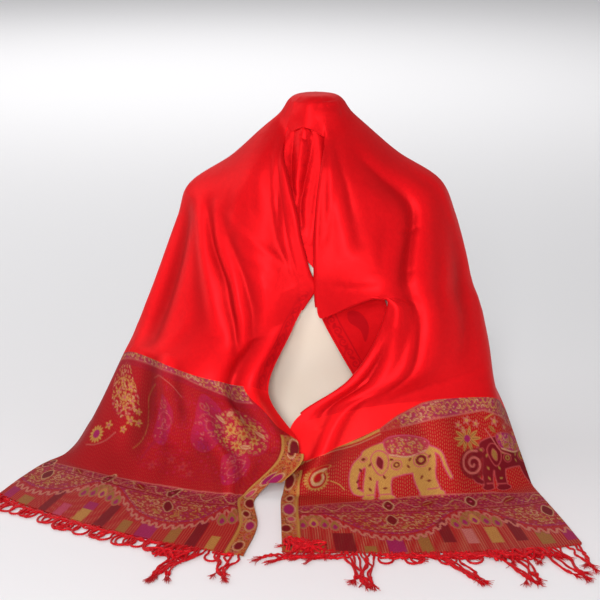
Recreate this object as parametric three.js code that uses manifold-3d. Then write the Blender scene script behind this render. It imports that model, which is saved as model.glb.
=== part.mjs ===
// A pashmina shawl, folded in half along its length and draped over a half-torso dress form.
// The shawl covers the neck and both shoulders, opens over the front of the form, and its two
// woven ends come forward and lie on the table, each with a fringe of twisted cords.
// Millimetres, +Z up, the wearer's front towards -Y. The origin is the centre of the form's flat base.

import * as THREE from "three";
import { mergeVertices } from "three/addons/utils/BufferGeometryUtils.js";
import Module from "manifold-3d";

const wasm = await Module();
wasm.setup();

const CLOTH = 2.4; // the doubled cloth's thickness
const HALF = CLOTH / 2;
const SEAM = 0.3; // between two stretches of the cloth
const CLEARANCE = 0.8; // between the cloth's inside and the form's true curve
const LANDING = 5; // how softly the cloth turns onto the table
const TURN_RADIUS = 4; // of a pleat where the cloth turns under

// The dress form, in level rings from its base to its neck: half the width, and the depth to the
// front and to the back of the middle.
const FORM_RINGS = [
  { z: 0, width: 126, front: 90, back: 72 },
  { z: 60, width: 121, front: 86, back: 70 },
  { z: 120, width: 119, front: 87, back: 69 },
  { z: 180, width: 131, front: 98, back: 74 },
  { z: 230, width: 147, front: 108, back: 80 },
  { z: 270, width: 158, front: 108, back: 85 },
  { z: 305, width: 168, front: 100, back: 86 },
  { z: 335, width: 179, front: 88, back: 82 },
  { z: 358, width: 182, front: 76, back: 74 },
  { z: 373, width: 176, front: 66, back: 65 },
  { z: 386, width: 160, front: 58, back: 58 },
  { z: 400, width: 126, front: 51, back: 53 },
  { z: 416, width: 88, front: 46, back: 49 },
  { z: 434, width: 57, front: 42, back: 45 },
  { z: 455, width: 45, front: 40, back: 41 },
  { z: 482, width: 42, front: 40, back: 39 },
  { z: 503, width: 39, front: 38, back: 36 },
  { z: 515, width: 29, front: 28, back: 27 },
  { z: 520, width: 15, front: 15, back: 15 },
];
const FORM_TOP = 521.5;
const FORM_SQUARENESS = 2.3; // 2 is an ellipse
const BUST = { x: 80, z: 262, height: 27, wide: 38, tall: 37 };

// Across each section of the shawl the columns name four points: fold is where the cloth turns
// under or ends beside the front opening, front is on the breast, side is on the shoulder's ridge
// or the outer slope, and back is the shawl's folded edge. Negative heights lie on the table.
// tuck is how far the cloth is turned under at the fold.
const LEFT_SECTIONS = [
  { at: "neck", tuck: 0, fold: [-43, -29, 473], front: [-49, -9, 489],
    side: [-47, 12, 501], back: [0, 47, 482] },
  { at: "neck slope", tuck: 14, fold: [-50, -74, 446], front: [-72, -49, 461],
    side: [-80, 2, 476], back: [-20, 78, 444] },
  { at: "mid shoulder", tuck: 26, fold: [-41, -100, 407], front: [-98, -75, 420],
    side: [-122, 2, 438], back: [-62, 97, 394] },
  { at: "shoulder tip", tuck: 28, fold: [-33, -115, 375], front: [-116, -86, 372],
    side: [-189, 2, 392], back: [-116, 102, 338] },
  { at: "upper arm", tuck: 28, fold: [-26, -123, 340], front: [-118, -112, 322],
    side: [-207, -2, 346], back: [-166, 86, 290] },
  { at: "bust", tuck: 24, fold: [-16, -128, 305], front: [-114, -132, 278],
    side: [-229, -14, 288], back: [-206, 60, 235] },
  { at: "closing point", tuck: 12, fold: [-9, -132, 272], front: [-120, -142, 233],
    side: [-252, -28, 228], back: [-238, 32, 180] },
  { at: "below the bust", tuck: 0, fold: [-33, -138, 215], front: [-142, -150, 190],
    side: [-270, -45, 180], back: [-266, 2, 130] },
  { at: "end panel", tuck: 0, fold: [-69, -150, 122], front: [-170, -158, 148],
    side: [-284, -64, 150], back: [-296, -28, 98] },
  { at: "inner corner", tuck: 0, fold: [-25, -226, 73], front: [-150, -200, 88],
    side: [-314, -106, 80], back: [-340, -78, 44] },
  { at: "inner turn", tuck: 0, fold: [-28, -238, 57], front: [-158, -214, 54],
    side: [-330, -130, 42], back: [-362, -100, 14] },
  { at: "table", tuck: 0, fold: [-84, -250, 3], front: [-176, -244, -6],
    side: [-352, -162, -6], back: [-398, -134, -6] },
  { at: "lower border", tuck: 0, fold: [-80, -332, -6], front: [-200, -304, -6],
    side: [-376, -214, -6], back: [-424, -184, -6] },
  { at: "hem", tuck: 0, fold: [-95, -409, -6], front: [-218, -368, -6],
    side: [-392, -278, -6], back: [-445, -238, -6] },
];
const RIGHT_SECTIONS = [
  { at: "neck", tuck: 0, fold: [13, -46, 472], front: [40, -25, 488],
    side: [48, 12, 503], back: [0, 47, 482] },
  { at: "neck slope", tuck: 14, fold: [10, -85, 440], front: [52, -64, 456],
    side: [78, 2, 479], back: [22, 78, 445] },
  { at: "mid shoulder", tuck: 26, fold: [5, -106, 394], front: [80, -86, 404],
    side: [122, 2, 441], back: [64, 97, 398] },
  { at: "shoulder tip", tuck: 28, fold: [2, -121, 346], front: [100, -98, 358],
    side: [187, 2, 398], back: [116, 102, 342] },
  { at: "upper arm", tuck: 26, fold: [1, -129, 309], front: [102, -126, 320],
    side: [209, -6, 350], back: [168, 86, 292] },
  { at: "bust", tuck: 14, fold: [1, -134, 275], front: [102, -146, 293],
    side: [225, -24, 296], back: [204, 58, 240] },
  { at: "dart", tuck: 0, fold: [6, -137, 229], front: [108, -151, 280],
    side: [232, -38, 264], back: [218, 44, 212] },
  { at: "dart end", tuck: 0, fold: [47, -145, 256], front: [118, -152, 267],
    side: [236, -45, 250], back: [224, 38, 200] },
  { at: "swag top", tuck: 16, fold: [100, -153, 266], front: [136, -152, 252],
    side: [241, -56, 236], back: [231, 30, 186] },
  { at: "swag crest", tuck: 30, fold: [91, -159, 212], front: [144, -162, 210],
    side: [248, -70, 204], back: [241, 12, 156] },
  { at: "swag", tuck: 32, fold: [52, -173, 151], front: [134, -174, 160],
    side: [253, -92, 168], back: [254, -16, 126] },
  { at: "end panel", tuck: 0, fold: [-34, -197, 91], front: [84, -186, 114],
    side: [252, -140, 108], back: [278, -104, 84] },
  { at: "inner corner", tuck: 0, fold: [-40, -214, 36], front: [94, -216, 60],
    side: [258, -182, 56], back: [296, -164, 34] },
  { at: "table", tuck: 0, fold: [-49, -252, -6], front: [106, -264, -6],
    side: [262, -246, -6], back: [312, -234, -6] },
  { at: "lower border", tuck: 0, fold: [-48, -330, -6], front: [120, -332, -6],
    side: [278, -316, -6], back: [328, -306, -6] },
  { at: "hem", tuck: 0, fold: [-46, -400, -6], front: [126, -402, -6],
    side: [292, -391, -6], back: [342, -379, -6] },
];

// Soft ridges and troughs that run down the cloth. A place is counted in sections from the neck,
// and in columns from the fold (0) over the front (1) and the side (2) to the back edge (3).
// The height is negative in a trough, and the slopes to each side have widths of their own.
const LEFT_FOLDS = [
  { name: "lapel valley", path: [[0.5, 0.45], [2.1, 0.28], [3.9, 0.29], [5.7, 0.24]],
    height: -5, toFold: 8, toBack: 16 },
  { name: "shoulder ridge", path: [[3, 1.5], [3.8, 1.42], [5.3, 1.25], [6.7, 1.06]],
    height: 6, toFold: 10, toBack: 15 },
  { name: "shoulder trough", path: [[2.8, 1.4], [3.6, 1.34], [5, 1.13], [6.1, 0.98], [7.9, 0.42]],
    height: -9, toFold: 9, toBack: 10 },
  { name: "breast ridge", path: [[4.2, 1.06], [5.5, 0.96], [7, 0.66], [7.8, 0.46]],
    height: 5, toFold: 7, toBack: 7 },
  { name: "breast trough", path: [[2.9, 1.2], [4.3, 0.99], [6.2, 0.8], [7.9, 0.32]],
    height: -8, toFold: 14, toBack: 9 },
  { name: "outer trough", path: [[3.6, 1.75], [7.8, 1.66]], height: -7, toFold: 16, toBack: 18 },
  { name: "opening pleat", path: [[6.8, 0.22], [9.8, 0.3]], height: 7, toFold: 11, toBack: 11 },
  { name: "opening trough", path: [[7, 0.48], [9.4, 0.55]], height: -9, toFold: 13, toBack: 13 },
  { name: "end swell", path: [[8, 1.1], [10.2, 1.2]], height: 9, toFold: 24, toBack: 24 },
  { name: "back swell", path: [[1.4, 2.6], [5.6, 2.55]], height: 8, toFold: 18, toBack: 18 },
  { name: "back trough", path: [[2.4, 2.3], [6.8, 2.25]], height: -7, toFold: 16, toBack: 16 },
];
const RIGHT_FOLDS = [
  { name: "collar ridge", path: [[0.8, 0.2], [4, 0.42]], height: 6, toFold: 14, toBack: 14 },
  { name: "shoulder valley",
    path: [[0.6, 0.8], [2.4, 1.32], [4.4, 1.13], [6.3, 1], [7.2, 0.74], [7.8, 0.5], [9.1, 0.4], [10, 0.42]],
    height: -14, toFold: 27, toBack: 8 },
  { name: "shoulder fold",
    path: [[1.8, 1.5], [2.6, 1.48], [4.4, 1.28], [6.3, 1.14], [7.8, 0.66], [9.2, 0.54], [10.2, 0.6]],
    height: 5, toFold: 8, toBack: 24 },
  { name: "side trough", path: [[4, 1.8], [10.4, 1.6]], height: -5, toFold: 20, toBack: 22 },
  { name: "swag trough", path: [[8.8, 0.34], [10.1, 0.3], [11.3, 0.4]], height: -8, toFold: 11, toBack: 15 },
  { name: "inner roll", path: [[10.6, 0.75], [12.9, 0.08]], height: 9, toFold: 12, toBack: 12 },
  { name: "end swell", path: [[11, 1.4], [13, 1.5]], height: 7, toFold: 22, toBack: 22 },
  { name: "back swell", path: [[1.4, 2.6], [7, 2.5]], height: 8, toFold: 18, toBack: 18 },
  { name: "back trough", path: [[2.4, 2.3], [8.6, 2.2]], height: -7, toFold: 16, toBack: 16 },
];

// The recessed panel of cloth that hangs from the neck's front between the two pleats.
const PANEL_SECTIONS = [
  { at: "under the neck", left: [-40, -27, 470], middle: [-16, -43, 472], right: [12, -43, 471] },
  { at: "throat", left: [-62, -48, 438], middle: [-18, -66, 434], right: [26, -58, 434] },
  { at: "collarbone", left: [-64, -74, 400], middle: [-16, -88, 390], right: [26, -80, 388] },
  { at: "chest", left: [-60, -86, 384], middle: [-12, -106, 346], right: [28, -100, 340] },
  { at: "edge", left: [-54, -89, 376], middle: [-13, -114, 308], right: [28, -118, 264] },
];
const PANEL_FOLD = { across: 0.28, height: 7, width: 9 };

// The same sheet goes on below the right breast, behind the swag, and its selvedge shows there.
const SELVEDGE_SECTIONS = [
  { at: "under the breast", edge: [5, -133, 243], middle: [52, -143, 262], hidden: [95, -139, 262] },
  { at: "top", edge: [9, -127, 224], middle: [58, -133, 243], hidden: [101, -135, 244] },
  { at: "middle", edge: [31, -126, 180], middle: [70, -127, 198], hidden: [106, -136, 205] },
  { at: "swag", edge: [56, -126, 134], middle: [82, -127, 150], hidden: [108, -138, 160] },
  { at: "end", edge: [68, -130, 108], middle: [88, -132, 122], hidden: [108, -142, 132] },
];

// The under layer of the folded shawl shows past the left end's inner edge, between these sections.
// Each column is how far a line of it lies beyond that edge.
const UNDER_LAYER = { from: 9.67, to: 10.67, depth: 3.6, high: [-16, -8, 0, 8], low: [-6, 2, 9, 16] };

// Faces along and across each stretch of cloth.
const ROWS_PER_SECTION = 3;
const COLUMNS = { fold: 7, front: 9, side: 7 };
const TUCK_COLUMNS = 4;
const NECK_RINGS = 5;
const NECK_FRONT_COLUMNS = 5;
const SHEET_ROWS_PER_SECTION = 2;
const SHEET_COLUMNS = 6;

// The fringe: twisted cords that end in a small tassel, from a narrow strip beyond each hem.
// Near a gather, which is a place along the hem from 0 at the inner corner to 1, they lean together.
const FRINGE = {
  cords: 22,
  thick: 2.4,
  length: 62,
  tassel: 14,
  tasselThick: 5,
  strip: 3,
  lift: 0.5,
  steps: 5,
  sides: 3,
  gatherWidth: 0.07,
  leftGathers: [0.08, 0.52, 0.93],
  rightGathers: [0.26, 0.74, 0.97],
};
const FORM_COLUMNS = 36;

// A curve through points with even speed changes, read at u counted in points from the first.
function through(points, u) {
  const curve = new THREE.CatmullRomCurve3(points, false, "centripetal");
  return curve.getPoint(THREE.MathUtils.clamp(u / (points.length - 1), 0, 1));
}

const vector = (list) => new THREE.Vector3(...list);

// A smooth value between the rows of a table at height z.
function ringValue(key, z) {
  const rings = FORM_RINGS;
  let i = 0;
  while (i < rings.length - 2 && rings[i + 1].z < z) i++;
  const [a, b] = [rings[i], rings[i + 1]];
  const before = rings[Math.max(i - 1, 0)];
  const after = rings[Math.min(i + 2, rings.length - 1)];
  const span = b.z - a.z;
  const t = THREE.MathUtils.clamp((z - a.z) / span, 0, 1);
  const slopeA = ((b[key] - before[key]) / (b.z - before.z)) * span;
  const slopeB = ((after[key] - a[key]) / (after.z - a.z)) * span;
  const t2 = t * t;
  const t3 = t2 * t;
  return (
    (2 * t3 - 3 * t2 + 1) * a[key] +
    (t3 - 2 * t2 + t) * slopeA +
    (3 * t2 - 2 * t3) * b[key] +
    (t3 - t2) * slopeB
  );
}

// Below 1 inside the form, 1 on its skin and above 1 outside it.
function formLevel(x, y, z) {
  const depth = y < 0 ? ringValue("front", z) : ringValue("back", z);
  const bustX = (Math.abs(x) - BUST.x) / BUST.wide;
  const bustZ = (z - BUST.z) / BUST.tall;
  const bust = y < 0 ? BUST.height * Math.exp(-bustX * bustX - bustZ * bustZ) : 0;
  return (
    Math.pow(Math.abs(x) / ringValue("width", z), FORM_SQUARENESS) +
    Math.pow(Math.abs(y) / (depth + bust), FORM_SQUARENESS)
  );
}

// Moves a point of the cloth's middle out of the form, so that the cloth lies on it.
function restOnForm(p, clearance = HALF + CLEARANCE) {
  if (p.z > FORM_TOP + clearance) return p;
  const step = 0.5;
  for (let i = 0; i < 6; i++) {
    const level = formLevel(p.x, p.y, p.z);
    const slope = new THREE.Vector3(
      formLevel(p.x + step, p.y, p.z) - formLevel(p.x - step, p.y, p.z),
      formLevel(p.x, p.y + step, p.z) - formLevel(p.x, p.y - step, p.z),
      formLevel(p.x, p.y, p.z + step) - formLevel(p.x, p.y, p.z - step),
    ).divideScalar(2 * step);
    const steep = Math.max(slope.length(), 1e-4);
    const distance = (level - 1) / steep;
    if (distance >= clearance) break;
    p.addScaledVector(slope, Math.min(clearance - distance, 8) / steep);
  }
  return p;
}

// Lets the cloth's middle down onto the table in a soft curve, and never lower.
function restOnTable(p) {
  const high = p.z - HALF;
  if (high < -LANDING) p.z = HALF;
  else if (high < LANDING) p.z = HALF + (high + LANDING) ** 2 / (4 * LANDING);
  return p;
}

// One half of the shawl as a grid of points: grid[row][column], from the fold to the back edge.
function halfGrid(sections, folds) {
  const rows = (sections.length - 1) * ROWS_PER_SECTION;
  const columnPlaces = [];
  [COLUMNS.fold, COLUMNS.front, COLUMNS.side].forEach((count, k) => {
    for (let i = 0; i < count; i++) columnPlaces.push(k + i / count);
  });
  columnPlaces.push(3);
  const rails = ["fold", "front", "side", "back"].map((name) => sections.map((s) => vector(s[name])));
  const grid = [];
  for (let r = 0; r <= rows; r++) {
    const at = r / ROWS_PER_SECTION;
    const across = rails.map((rail) => through(rail, at));
    grid.push(columnPlaces.map((c) => through(across, c)));
  }
  const normals = gridNormals(grid);
  const outward = Math.sign(sections[3].side[0]);
  grid.forEach((row, r) => {
    const at = r / ROWS_PER_SECTION;
    const lengths = [0];
    for (let c = 1; c < row.length; c++) lengths.push(lengths[c - 1] + row[c].distanceTo(row[c - 1]));
    const lengthAt = (place) => {
      const c = columnPlaces.findIndex((x) => x >= place);
      if (c <= 0) return 0;
      const t = (place - columnPlaces[c - 1]) / (columnPlaces[c] - columnPlaces[c - 1]);
      return THREE.MathUtils.lerp(lengths[c - 1], lengths[c], t);
    };
    const shifts = row.map(() => 0);
    for (const { path, height, toFold, toBack } of folds) {
      const [first, last] = [path[0][0], path[path.length - 1][0]];
      const along = (at - first) / (last - first);
      if (along <= 0 || along >= 1) continue;
      const k = path.findIndex((place) => place[0] > at);
      const share = (at - path[k - 1][0]) / (path[k][0] - path[k - 1][0]);
      const centre = lengthAt(THREE.MathUtils.lerp(path[k - 1][1], path[k][1], share));
      const strength = height * Math.sin(Math.PI * along) ** 0.8;
      lengths.forEach((length, c) => {
        const width = length < centre ? toFold : toBack;
        shifts[c] += strength * Math.exp(-(((length - centre) / width) ** 2));
      });
    }
    row.forEach((p, c) => {
      p.addScaledVector(normals[r][c], shifts[c] * outward);
      restOnTable(restOnForm(p));
    });
  });
  return grid;
}

// The direction square to the grid at each point; it points out of the cloth on the right half.
function gridNormals(grid) {
  return grid.map((row, r) =>
    row.map((_, c) => {
      const down = grid[Math.min(r + 1, grid.length - 1)][c].clone().sub(grid[Math.max(r - 1, 0)][c]);
      const across = row[Math.min(c + 1, row.length - 1)].clone().sub(row[Math.max(c - 1, 0)]);
      return down.cross(across).normalize();
    }),
  );
}

// Points for the cloth turned under at a fold: a half turn of the pleat's radius, then straight.
function tuckPoints(grid, r, tuck, inward) {
  const edge = grid[r][0];
  const outwards = grid[r][1].clone().sub(edge).normalize();
  const down = grid[Math.min(r + 1, grid.length - 1)][0].clone().sub(grid[Math.max(r - 1, 0)][0]);
  const behind = down.cross(outwards).normalize().multiplyScalar(inward);
  const radius = Math.min(TURN_RADIUS, tuck / 3);
  const points = [];
  for (let k = 1; k <= TUCK_COLUMNS; k++) {
    const turned = Math.min(k / (TUCK_COLUMNS - 1), 1) * Math.PI;
    const p = edge.clone();
    p.addScaledVector(outwards, -radius * Math.sin(turned));
    p.addScaledVector(behind, radius * (1 - Math.cos(turned)));
    if (k === TUCK_COLUMNS) p.addScaledVector(outwards, tuck);
    points.push(restOnTable(restOnForm(p)));
  }
  return points;
}

// Collects the faces of a thin surface, whose corners are shared wherever they meet.
class Surface {
  constructor() {
    this.points = [];
    this.faces = [];
    this.known = new Map();
  }

  corner(p) {
    const key = [p.x, p.y, p.z].map((v) => Math.round(v * 1000)).join(" ");
    if (!this.known.has(key)) {
      this.known.set(key, this.points.length);
      this.points.push(p.clone());
    }
    return this.known.get(key);
  }

  quad(a, b, c, d, stretch) {
    const corners = [a, b, c, d].map((p) => this.corner(p));
    for (const [i, j, k] of [[0, 1, 2], [0, 2, 3]]) {
      const face = [corners[i], corners[j], corners[k]];
      if (new Set(face).size === 3) this.faces.push({ face, stretch });
    }
  }

  normals() {
    const sums = this.points.map(() => new THREE.Vector3());
    for (const { face } of this.faces) {
      const [a, b, c] = face.map((i) => this.points[i]);
      const square = b.clone().sub(a).cross(c.clone().sub(a));
      face.forEach((i) => sums[i].add(square));
    }
    return sums.map((n) => n.normalize());
  }

  // The stretch as a closed wall: the faces moved out and in by half the cloth, and a rim round
  // the edges, which is drawn back at a seam with the next stretch.
  wall(stretch, drawnBack = () => false) {
    const normals = this.normals();
    const own = this.faces.filter((f) => f.stretch === stretch).map((f) => f.face);
    const edges = new Map();
    for (const face of own) {
      face.forEach((a, k) => {
        const b = face[(k + 1) % 3];
        const key = Math.min(a, b) + "_" + Math.max(a, b);
        if (edges.has(key)) edges.set(key, null);
        else edges.set(key, [a, b]);
      });
    }
    const rim = [...edges.values()].filter(Boolean);
    const place = new Map(own.flat().map((i) => [i, this.points[i].clone()]));
    const inward = new Map();
    for (const face of own) {
      face.forEach((a, k) => {
        const b = face[(k + 1) % 3];
        const onRim = edges.get(Math.min(a, b) + "_" + Math.max(a, b));
        if (!onRim || !drawnBack(a) || !drawnBack(b)) return;
        const along = this.points[b].clone().sub(this.points[a]).normalize();
        const into = this.points[face[(k + 2) % 3]].clone().sub(this.points[a]);
        into.addScaledVector(along, -into.dot(along)).normalize();
        for (const i of [a, b]) inward.set(i, (inward.get(i) ?? new THREE.Vector3()).add(into));
      });
    }
    for (const [i, into] of inward) place.get(i).addScaledVector(into.normalize(), SEAM / 2 + 0.05);
    const ids = [...place.keys()];
    const order = new Map(ids.map((id, k) => [id, k]));
    const position = [];
    for (const side of [HALF, -HALF]) {
      for (const id of ids) {
        const p = place.get(id).clone().addScaledVector(normals[id], side);
        position.push(p.x, p.y, p.z);
      }
    }
    const n = ids.length;
    const index = [];
    for (const face of own) {
      const [a, b, c] = face.map((i) => order.get(i));
      index.push(a, b, c, n + a, n + c, n + b);
    }
    for (const [from, to] of rim) {
      const [a, b] = [order.get(from), order.get(to)];
      index.push(b, a, n + a, b, n + a, n + b);
    }
    return closedGeometry(position, index);
  }
}

function closedGeometry(position, index) {
  const geometry = new THREE.BufferGeometry();
  geometry.setAttribute("position", new THREE.Float32BufferAttribute(position, 3));
  geometry.setIndex(index);
  geometry.computeVertexNormals();
  return geometry;
}

// Adds one half of the shawl, split into its stretches, to the surface of the whole drape.
// It gives back the points where one stretch ends and the next starts.
function addHalf(surface, grid, sections, side, stretches) {
  const mirrored = side === "left";
  const put = (a, b, c, d, stretch) => {
    if (mirrored) surface.quad(a, b, c, d, stretch);
    else surface.quad(a, d, c, b, stretch);
  };
  const stretchAt = (r) => stretches.find((s) => r < s.until * ROWS_PER_SECTION).name;
  for (let r = 0; r < grid.length - 1; r++) {
    for (let c = 0; c < grid[r].length - 1; c++) {
      put(grid[r][c], grid[r + 1][c], grid[r + 1][c + 1], grid[r][c + 1], stretchAt(r));
    }
  }
  const tuckRows = grid.map((_, r) => {
    const at = r / ROWS_PER_SECTION;
    const i = Math.min(Math.floor(at), sections.length - 2);
    const tuck = THREE.MathUtils.lerp(sections[i].tuck, sections[i + 1].tuck, at - i);
    return tuck > 5 ? tuckPoints(grid, r, tuck, mirrored ? 1 : -1) : null;
  });
  for (let r = 0; r < grid.length - 1; r++) {
    if (!tuckRows[r] || !tuckRows[r + 1]) continue;
    const above = [grid[r][0], ...tuckRows[r]];
    const below = [grid[r + 1][0], ...tuckRows[r + 1]];
    for (let k = 0; k < TUCK_COLUMNS; k++) {
      put(above[k + 1], below[k + 1], below[k], above[k], stretchAt(r));
    }
  }
  return stretches.slice(0, -1).flatMap(({ until }) => {
    const r = until * ROWS_PER_SECTION;
    return [...grid[r], ...(tuckRows[r] ?? [])];
  });
}

// The cap of cloth over the form's neck, down to the ring where the two halves start.
function addNeckCap(surface, left, right) {
  const frontCurve = [left[0][0], new THREE.Vector3(-17, -52, 465), right[0][0]];
  const front = [];
  for (let i = 1; i < NECK_FRONT_COLUMNS; i++) {
    front.push(through(frontCurve, (2 * i) / NECK_FRONT_COLUMNS));
  }
  const ring = [...left[0].slice(0, -1), ...right[0].slice().reverse(), ...front.reverse()];
  const profile = [
    { share: 0, z: FORM_TOP + 3.4 },
    { share: 0.36, z: FORM_TOP + 3 },
    { share: 0.72, z: FORM_TOP - 3 },
    { share: 0.9, z: FORM_TOP - 13 },
    { share: 0.97, z: FORM_TOP - 25 },
  ];
  const rings = profile.map(({ share, z }) =>
    ring.map((p) => restOnForm(new THREE.Vector3(p.x * share, p.y * share, z))),
  );
  rings.push(ring);
  for (let k = 0; k < NECK_RINGS; k++) {
    for (let i = 0; i < ring.length; i++) {
      const j = (i + 1) % ring.length;
      surface.quad(rings[k][i], rings[k + 1][i], rings[k + 1][j], rings[k][j], "neck_and_shoulders");
    }
  }
}

// A small sheet lofted through three named points of each section.
function sheetWall(sections, names, name, fold = null) {
  const surface = new Surface();
  const rows = (sections.length - 1) * SHEET_ROWS_PER_SECTION;
  const rails = names.map((key) => sections.map((s) => vector(s[key])));
  const grid = [];
  for (let r = 0; r <= rows; r++) {
    const across = rails.map((rail) => through(rail, r / SHEET_ROWS_PER_SECTION));
    const row = [];
    for (let c = 0; c <= SHEET_COLUMNS; c++) {
      const p = through(across, (2 * c) / SHEET_COLUMNS);
      if (fold) {
        const away = (c / SHEET_COLUMNS - fold.across) * across[0].distanceTo(across[2]);
        const grown = Math.min(1, r / (2 * SHEET_ROWS_PER_SECTION));
        p.y -= grown * fold.height * Math.exp(-((away / fold.width) ** 2));
      }
      row.push(restOnTable(restOnForm(p)));
    }
    grid.push(row);
  }
  for (let r = 0; r < rows; r++) {
    for (let c = 0; c < SHEET_COLUMNS; c++) {
      surface.quad(grid[r][c], grid[r + 1][c], grid[r + 1][c + 1], grid[r][c + 1], name);
    }
  }
  return surface.wall(name);
}

// The under layer beside the left end's inner edge, a little behind the cloth it follows.
function underLayer(grid) {
  const surface = new Surface();
  const { from, to, depth, high, low } = UNDER_LAYER;
  const [first, last] = [from, to].map((at) => Math.round(at * ROWS_PER_SECTION));
  const rows = [];
  for (let r = first; r <= last; r++) {
    const share = (r - first) / (last - first);
    const edge = grid[r][0];
    const outwards = edge.clone().sub(grid[r][1]).normalize();
    const down = grid[r + 1][0].clone().sub(grid[r - 1][0]).normalize();
    const behind = down.clone().cross(outwards).normalize();
    rows.push(
      high.map((_, k) => {
        const p = edge.clone().addScaledVector(outwards, THREE.MathUtils.lerp(high[k], low[k], share));
        return restOnTable(p.addScaledVector(behind, depth));
      }),
    );
  }
  for (let r = 0; r < rows.length - 1; r++) {
    for (let k = 0; k < high.length - 1; k++) {
      surface.quad(rows[r][k], rows[r][k + 1], rows[r + 1][k + 1], rows[r + 1][k], "left_under_layer");
    }
  }
  return surface.wall("left_under_layer");
}

// The half-torso form: rings of its true curve from the flat base to the closed neck.
function formGeometry() {
  const heights = FORM_RINGS.flatMap((ring, i) => {
    const next = FORM_RINGS[i + 1];
    return next && next.z - ring.z > 30 ? [ring.z, (ring.z + next.z) / 2] : [ring.z];
  });
  const position = [0, 0, 0];
  for (const z of heights) {
    for (let i = 0; i < FORM_COLUMNS; i++) {
      const angle = (2 * Math.PI * i) / FORM_COLUMNS;
      let [inside, outside] = [0, 300];
      for (let k = 0; k < 24; k++) {
        const radius = (inside + outside) / 2;
        if (formLevel(radius * Math.cos(angle), radius * Math.sin(angle), z) < 1) inside = radius;
        else outside = radius;
      }
      position.push(inside * Math.cos(angle), inside * Math.sin(angle), z);
    }
  }
  position.push(0, 0, FORM_TOP);
  const top = position.length / 3 - 1;
  const index = [];
  for (let i = 0; i < FORM_COLUMNS; i++) {
    const j = (i + 1) % FORM_COLUMNS;
    index.push(0, 1 + j, 1 + i);
    for (let k = 0; k < heights.length - 1; k++) {
      const [a, b] = [1 + k * FORM_COLUMNS, 1 + (k + 1) * FORM_COLUMNS];
      index.push(a + i, a + j, b + j, a + i, b + j, b + i);
    }
    const last = 1 + (heights.length - 1) * FORM_COLUMNS;
    index.push(last + i, last + j, top);
  }
  return closedGeometry(position, index);
}

// A closed cord through the points, with its own thickness at each.
function cordGeometry(points, thicknesses, sides) {
  const position = [];
  const index = [];
  points.forEach((p, k) => {
    const next = points[Math.min(k + 1, points.length - 1)];
    const previous = points[Math.max(k - 1, 0)];
    const along = next.clone().sub(previous).normalize();
    const sideways = new THREE.Vector3(0, 0, 1).cross(along).normalize();
    const up = along.clone().cross(sideways);
    for (let i = 0; i < sides; i++) {
      const angle = (2 * Math.PI * i) / sides + Math.PI / 2;
      const q = p.clone();
      q.addScaledVector(sideways, (Math.cos(angle) * thicknesses[k]) / 2);
      q.addScaledVector(up, (Math.sin(angle) * thicknesses[k]) / 2);
      position.push(q.x, q.y, q.z);
    }
  });
  const last = sides * (points.length - 1);
  for (let i = 0; i < sides; i++) {
    const j = (i + 1) % sides;
    for (let a = 0; a < last; a += sides) {
      index.push(a + i, a + j, a + sides + j, a + i, a + sides + j, a + sides + i);
    }
    if (i > 0 && j > 0) index.push(0, j, i, last, last + i, last + j);
  }
  return closedGeometry(position, index);
}

// One cord of the fringe: out from the hem over the table, bending in an even wave, and ending in
// a tassel. turn, reach and bend vary from cord to cord in a fixed way; lean is towards a gather.
function fringeCord(root, outwards, sideways, number, lean) {
  const turn = 0.12 * Math.sin(2.1 * number + 0.6);
  const reach = FRINGE.length * (0.82 + 0.18 * Math.sin(1.7 * number));
  const bend = 2.2 * Math.sin(2.9 * number + 1);
  const points = [];
  const thicknesses = [];
  const lowest = FRINGE.lift + FRINGE.thick / 2;
  for (let k = 0; k <= FRINGE.steps; k++) {
    const t = k / FRINGE.steps;
    const out = -FRINGE.strip / 2 + reach * t;
    const across = (reach * turn + lean) * t + bend * Math.sin(2 * Math.PI * t);
    const p = root.clone().addScaledVector(outwards, out).addScaledVector(sideways, across);
    p.z = lowest;
    points.push(p);
    thicknesses.push(FRINGE.thick);
  }
  const direction = points[FRINGE.steps].clone().sub(points[FRINGE.steps - 1]).normalize();
  const tassel = [
    { along: 1.5, thick: FRINGE.tasselThick * 0.8 },
    { along: 4, thick: FRINGE.thick },
    { along: 8, thick: FRINGE.tasselThick * 0.85 },
    { along: FRINGE.tassel, thick: FRINGE.tasselThick },
  ];
  for (const { along, thick } of tassel) {
    const p = points[FRINGE.steps].clone().addScaledVector(direction, along);
    p.z = FRINGE.lift + thick / 2;
    points.push(p);
    thicknesses.push(thick);
  }
  return cordGeometry(points, thicknesses, FRINGE.sides);
}

function solidOf(geometry) {
  const bare = geometry.clone();
  bare.deleteAttribute("normal");
  bare.deleteAttribute("uv");
  const merged = mergeVertices(bare, 1e-4);
  return new wasm.Manifold(
    new wasm.Mesh({
      numProp: 3,
      vertProperties: merged.attributes.position.array,
      triVerts: new Uint32Array(merged.index.array),
    }),
  );
}

function geometryOf(solid) {
  const mesh = solid.getMesh();
  return closedGeometry(Array.from(mesh.vertProperties), Array.from(mesh.triVerts));
}

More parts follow.
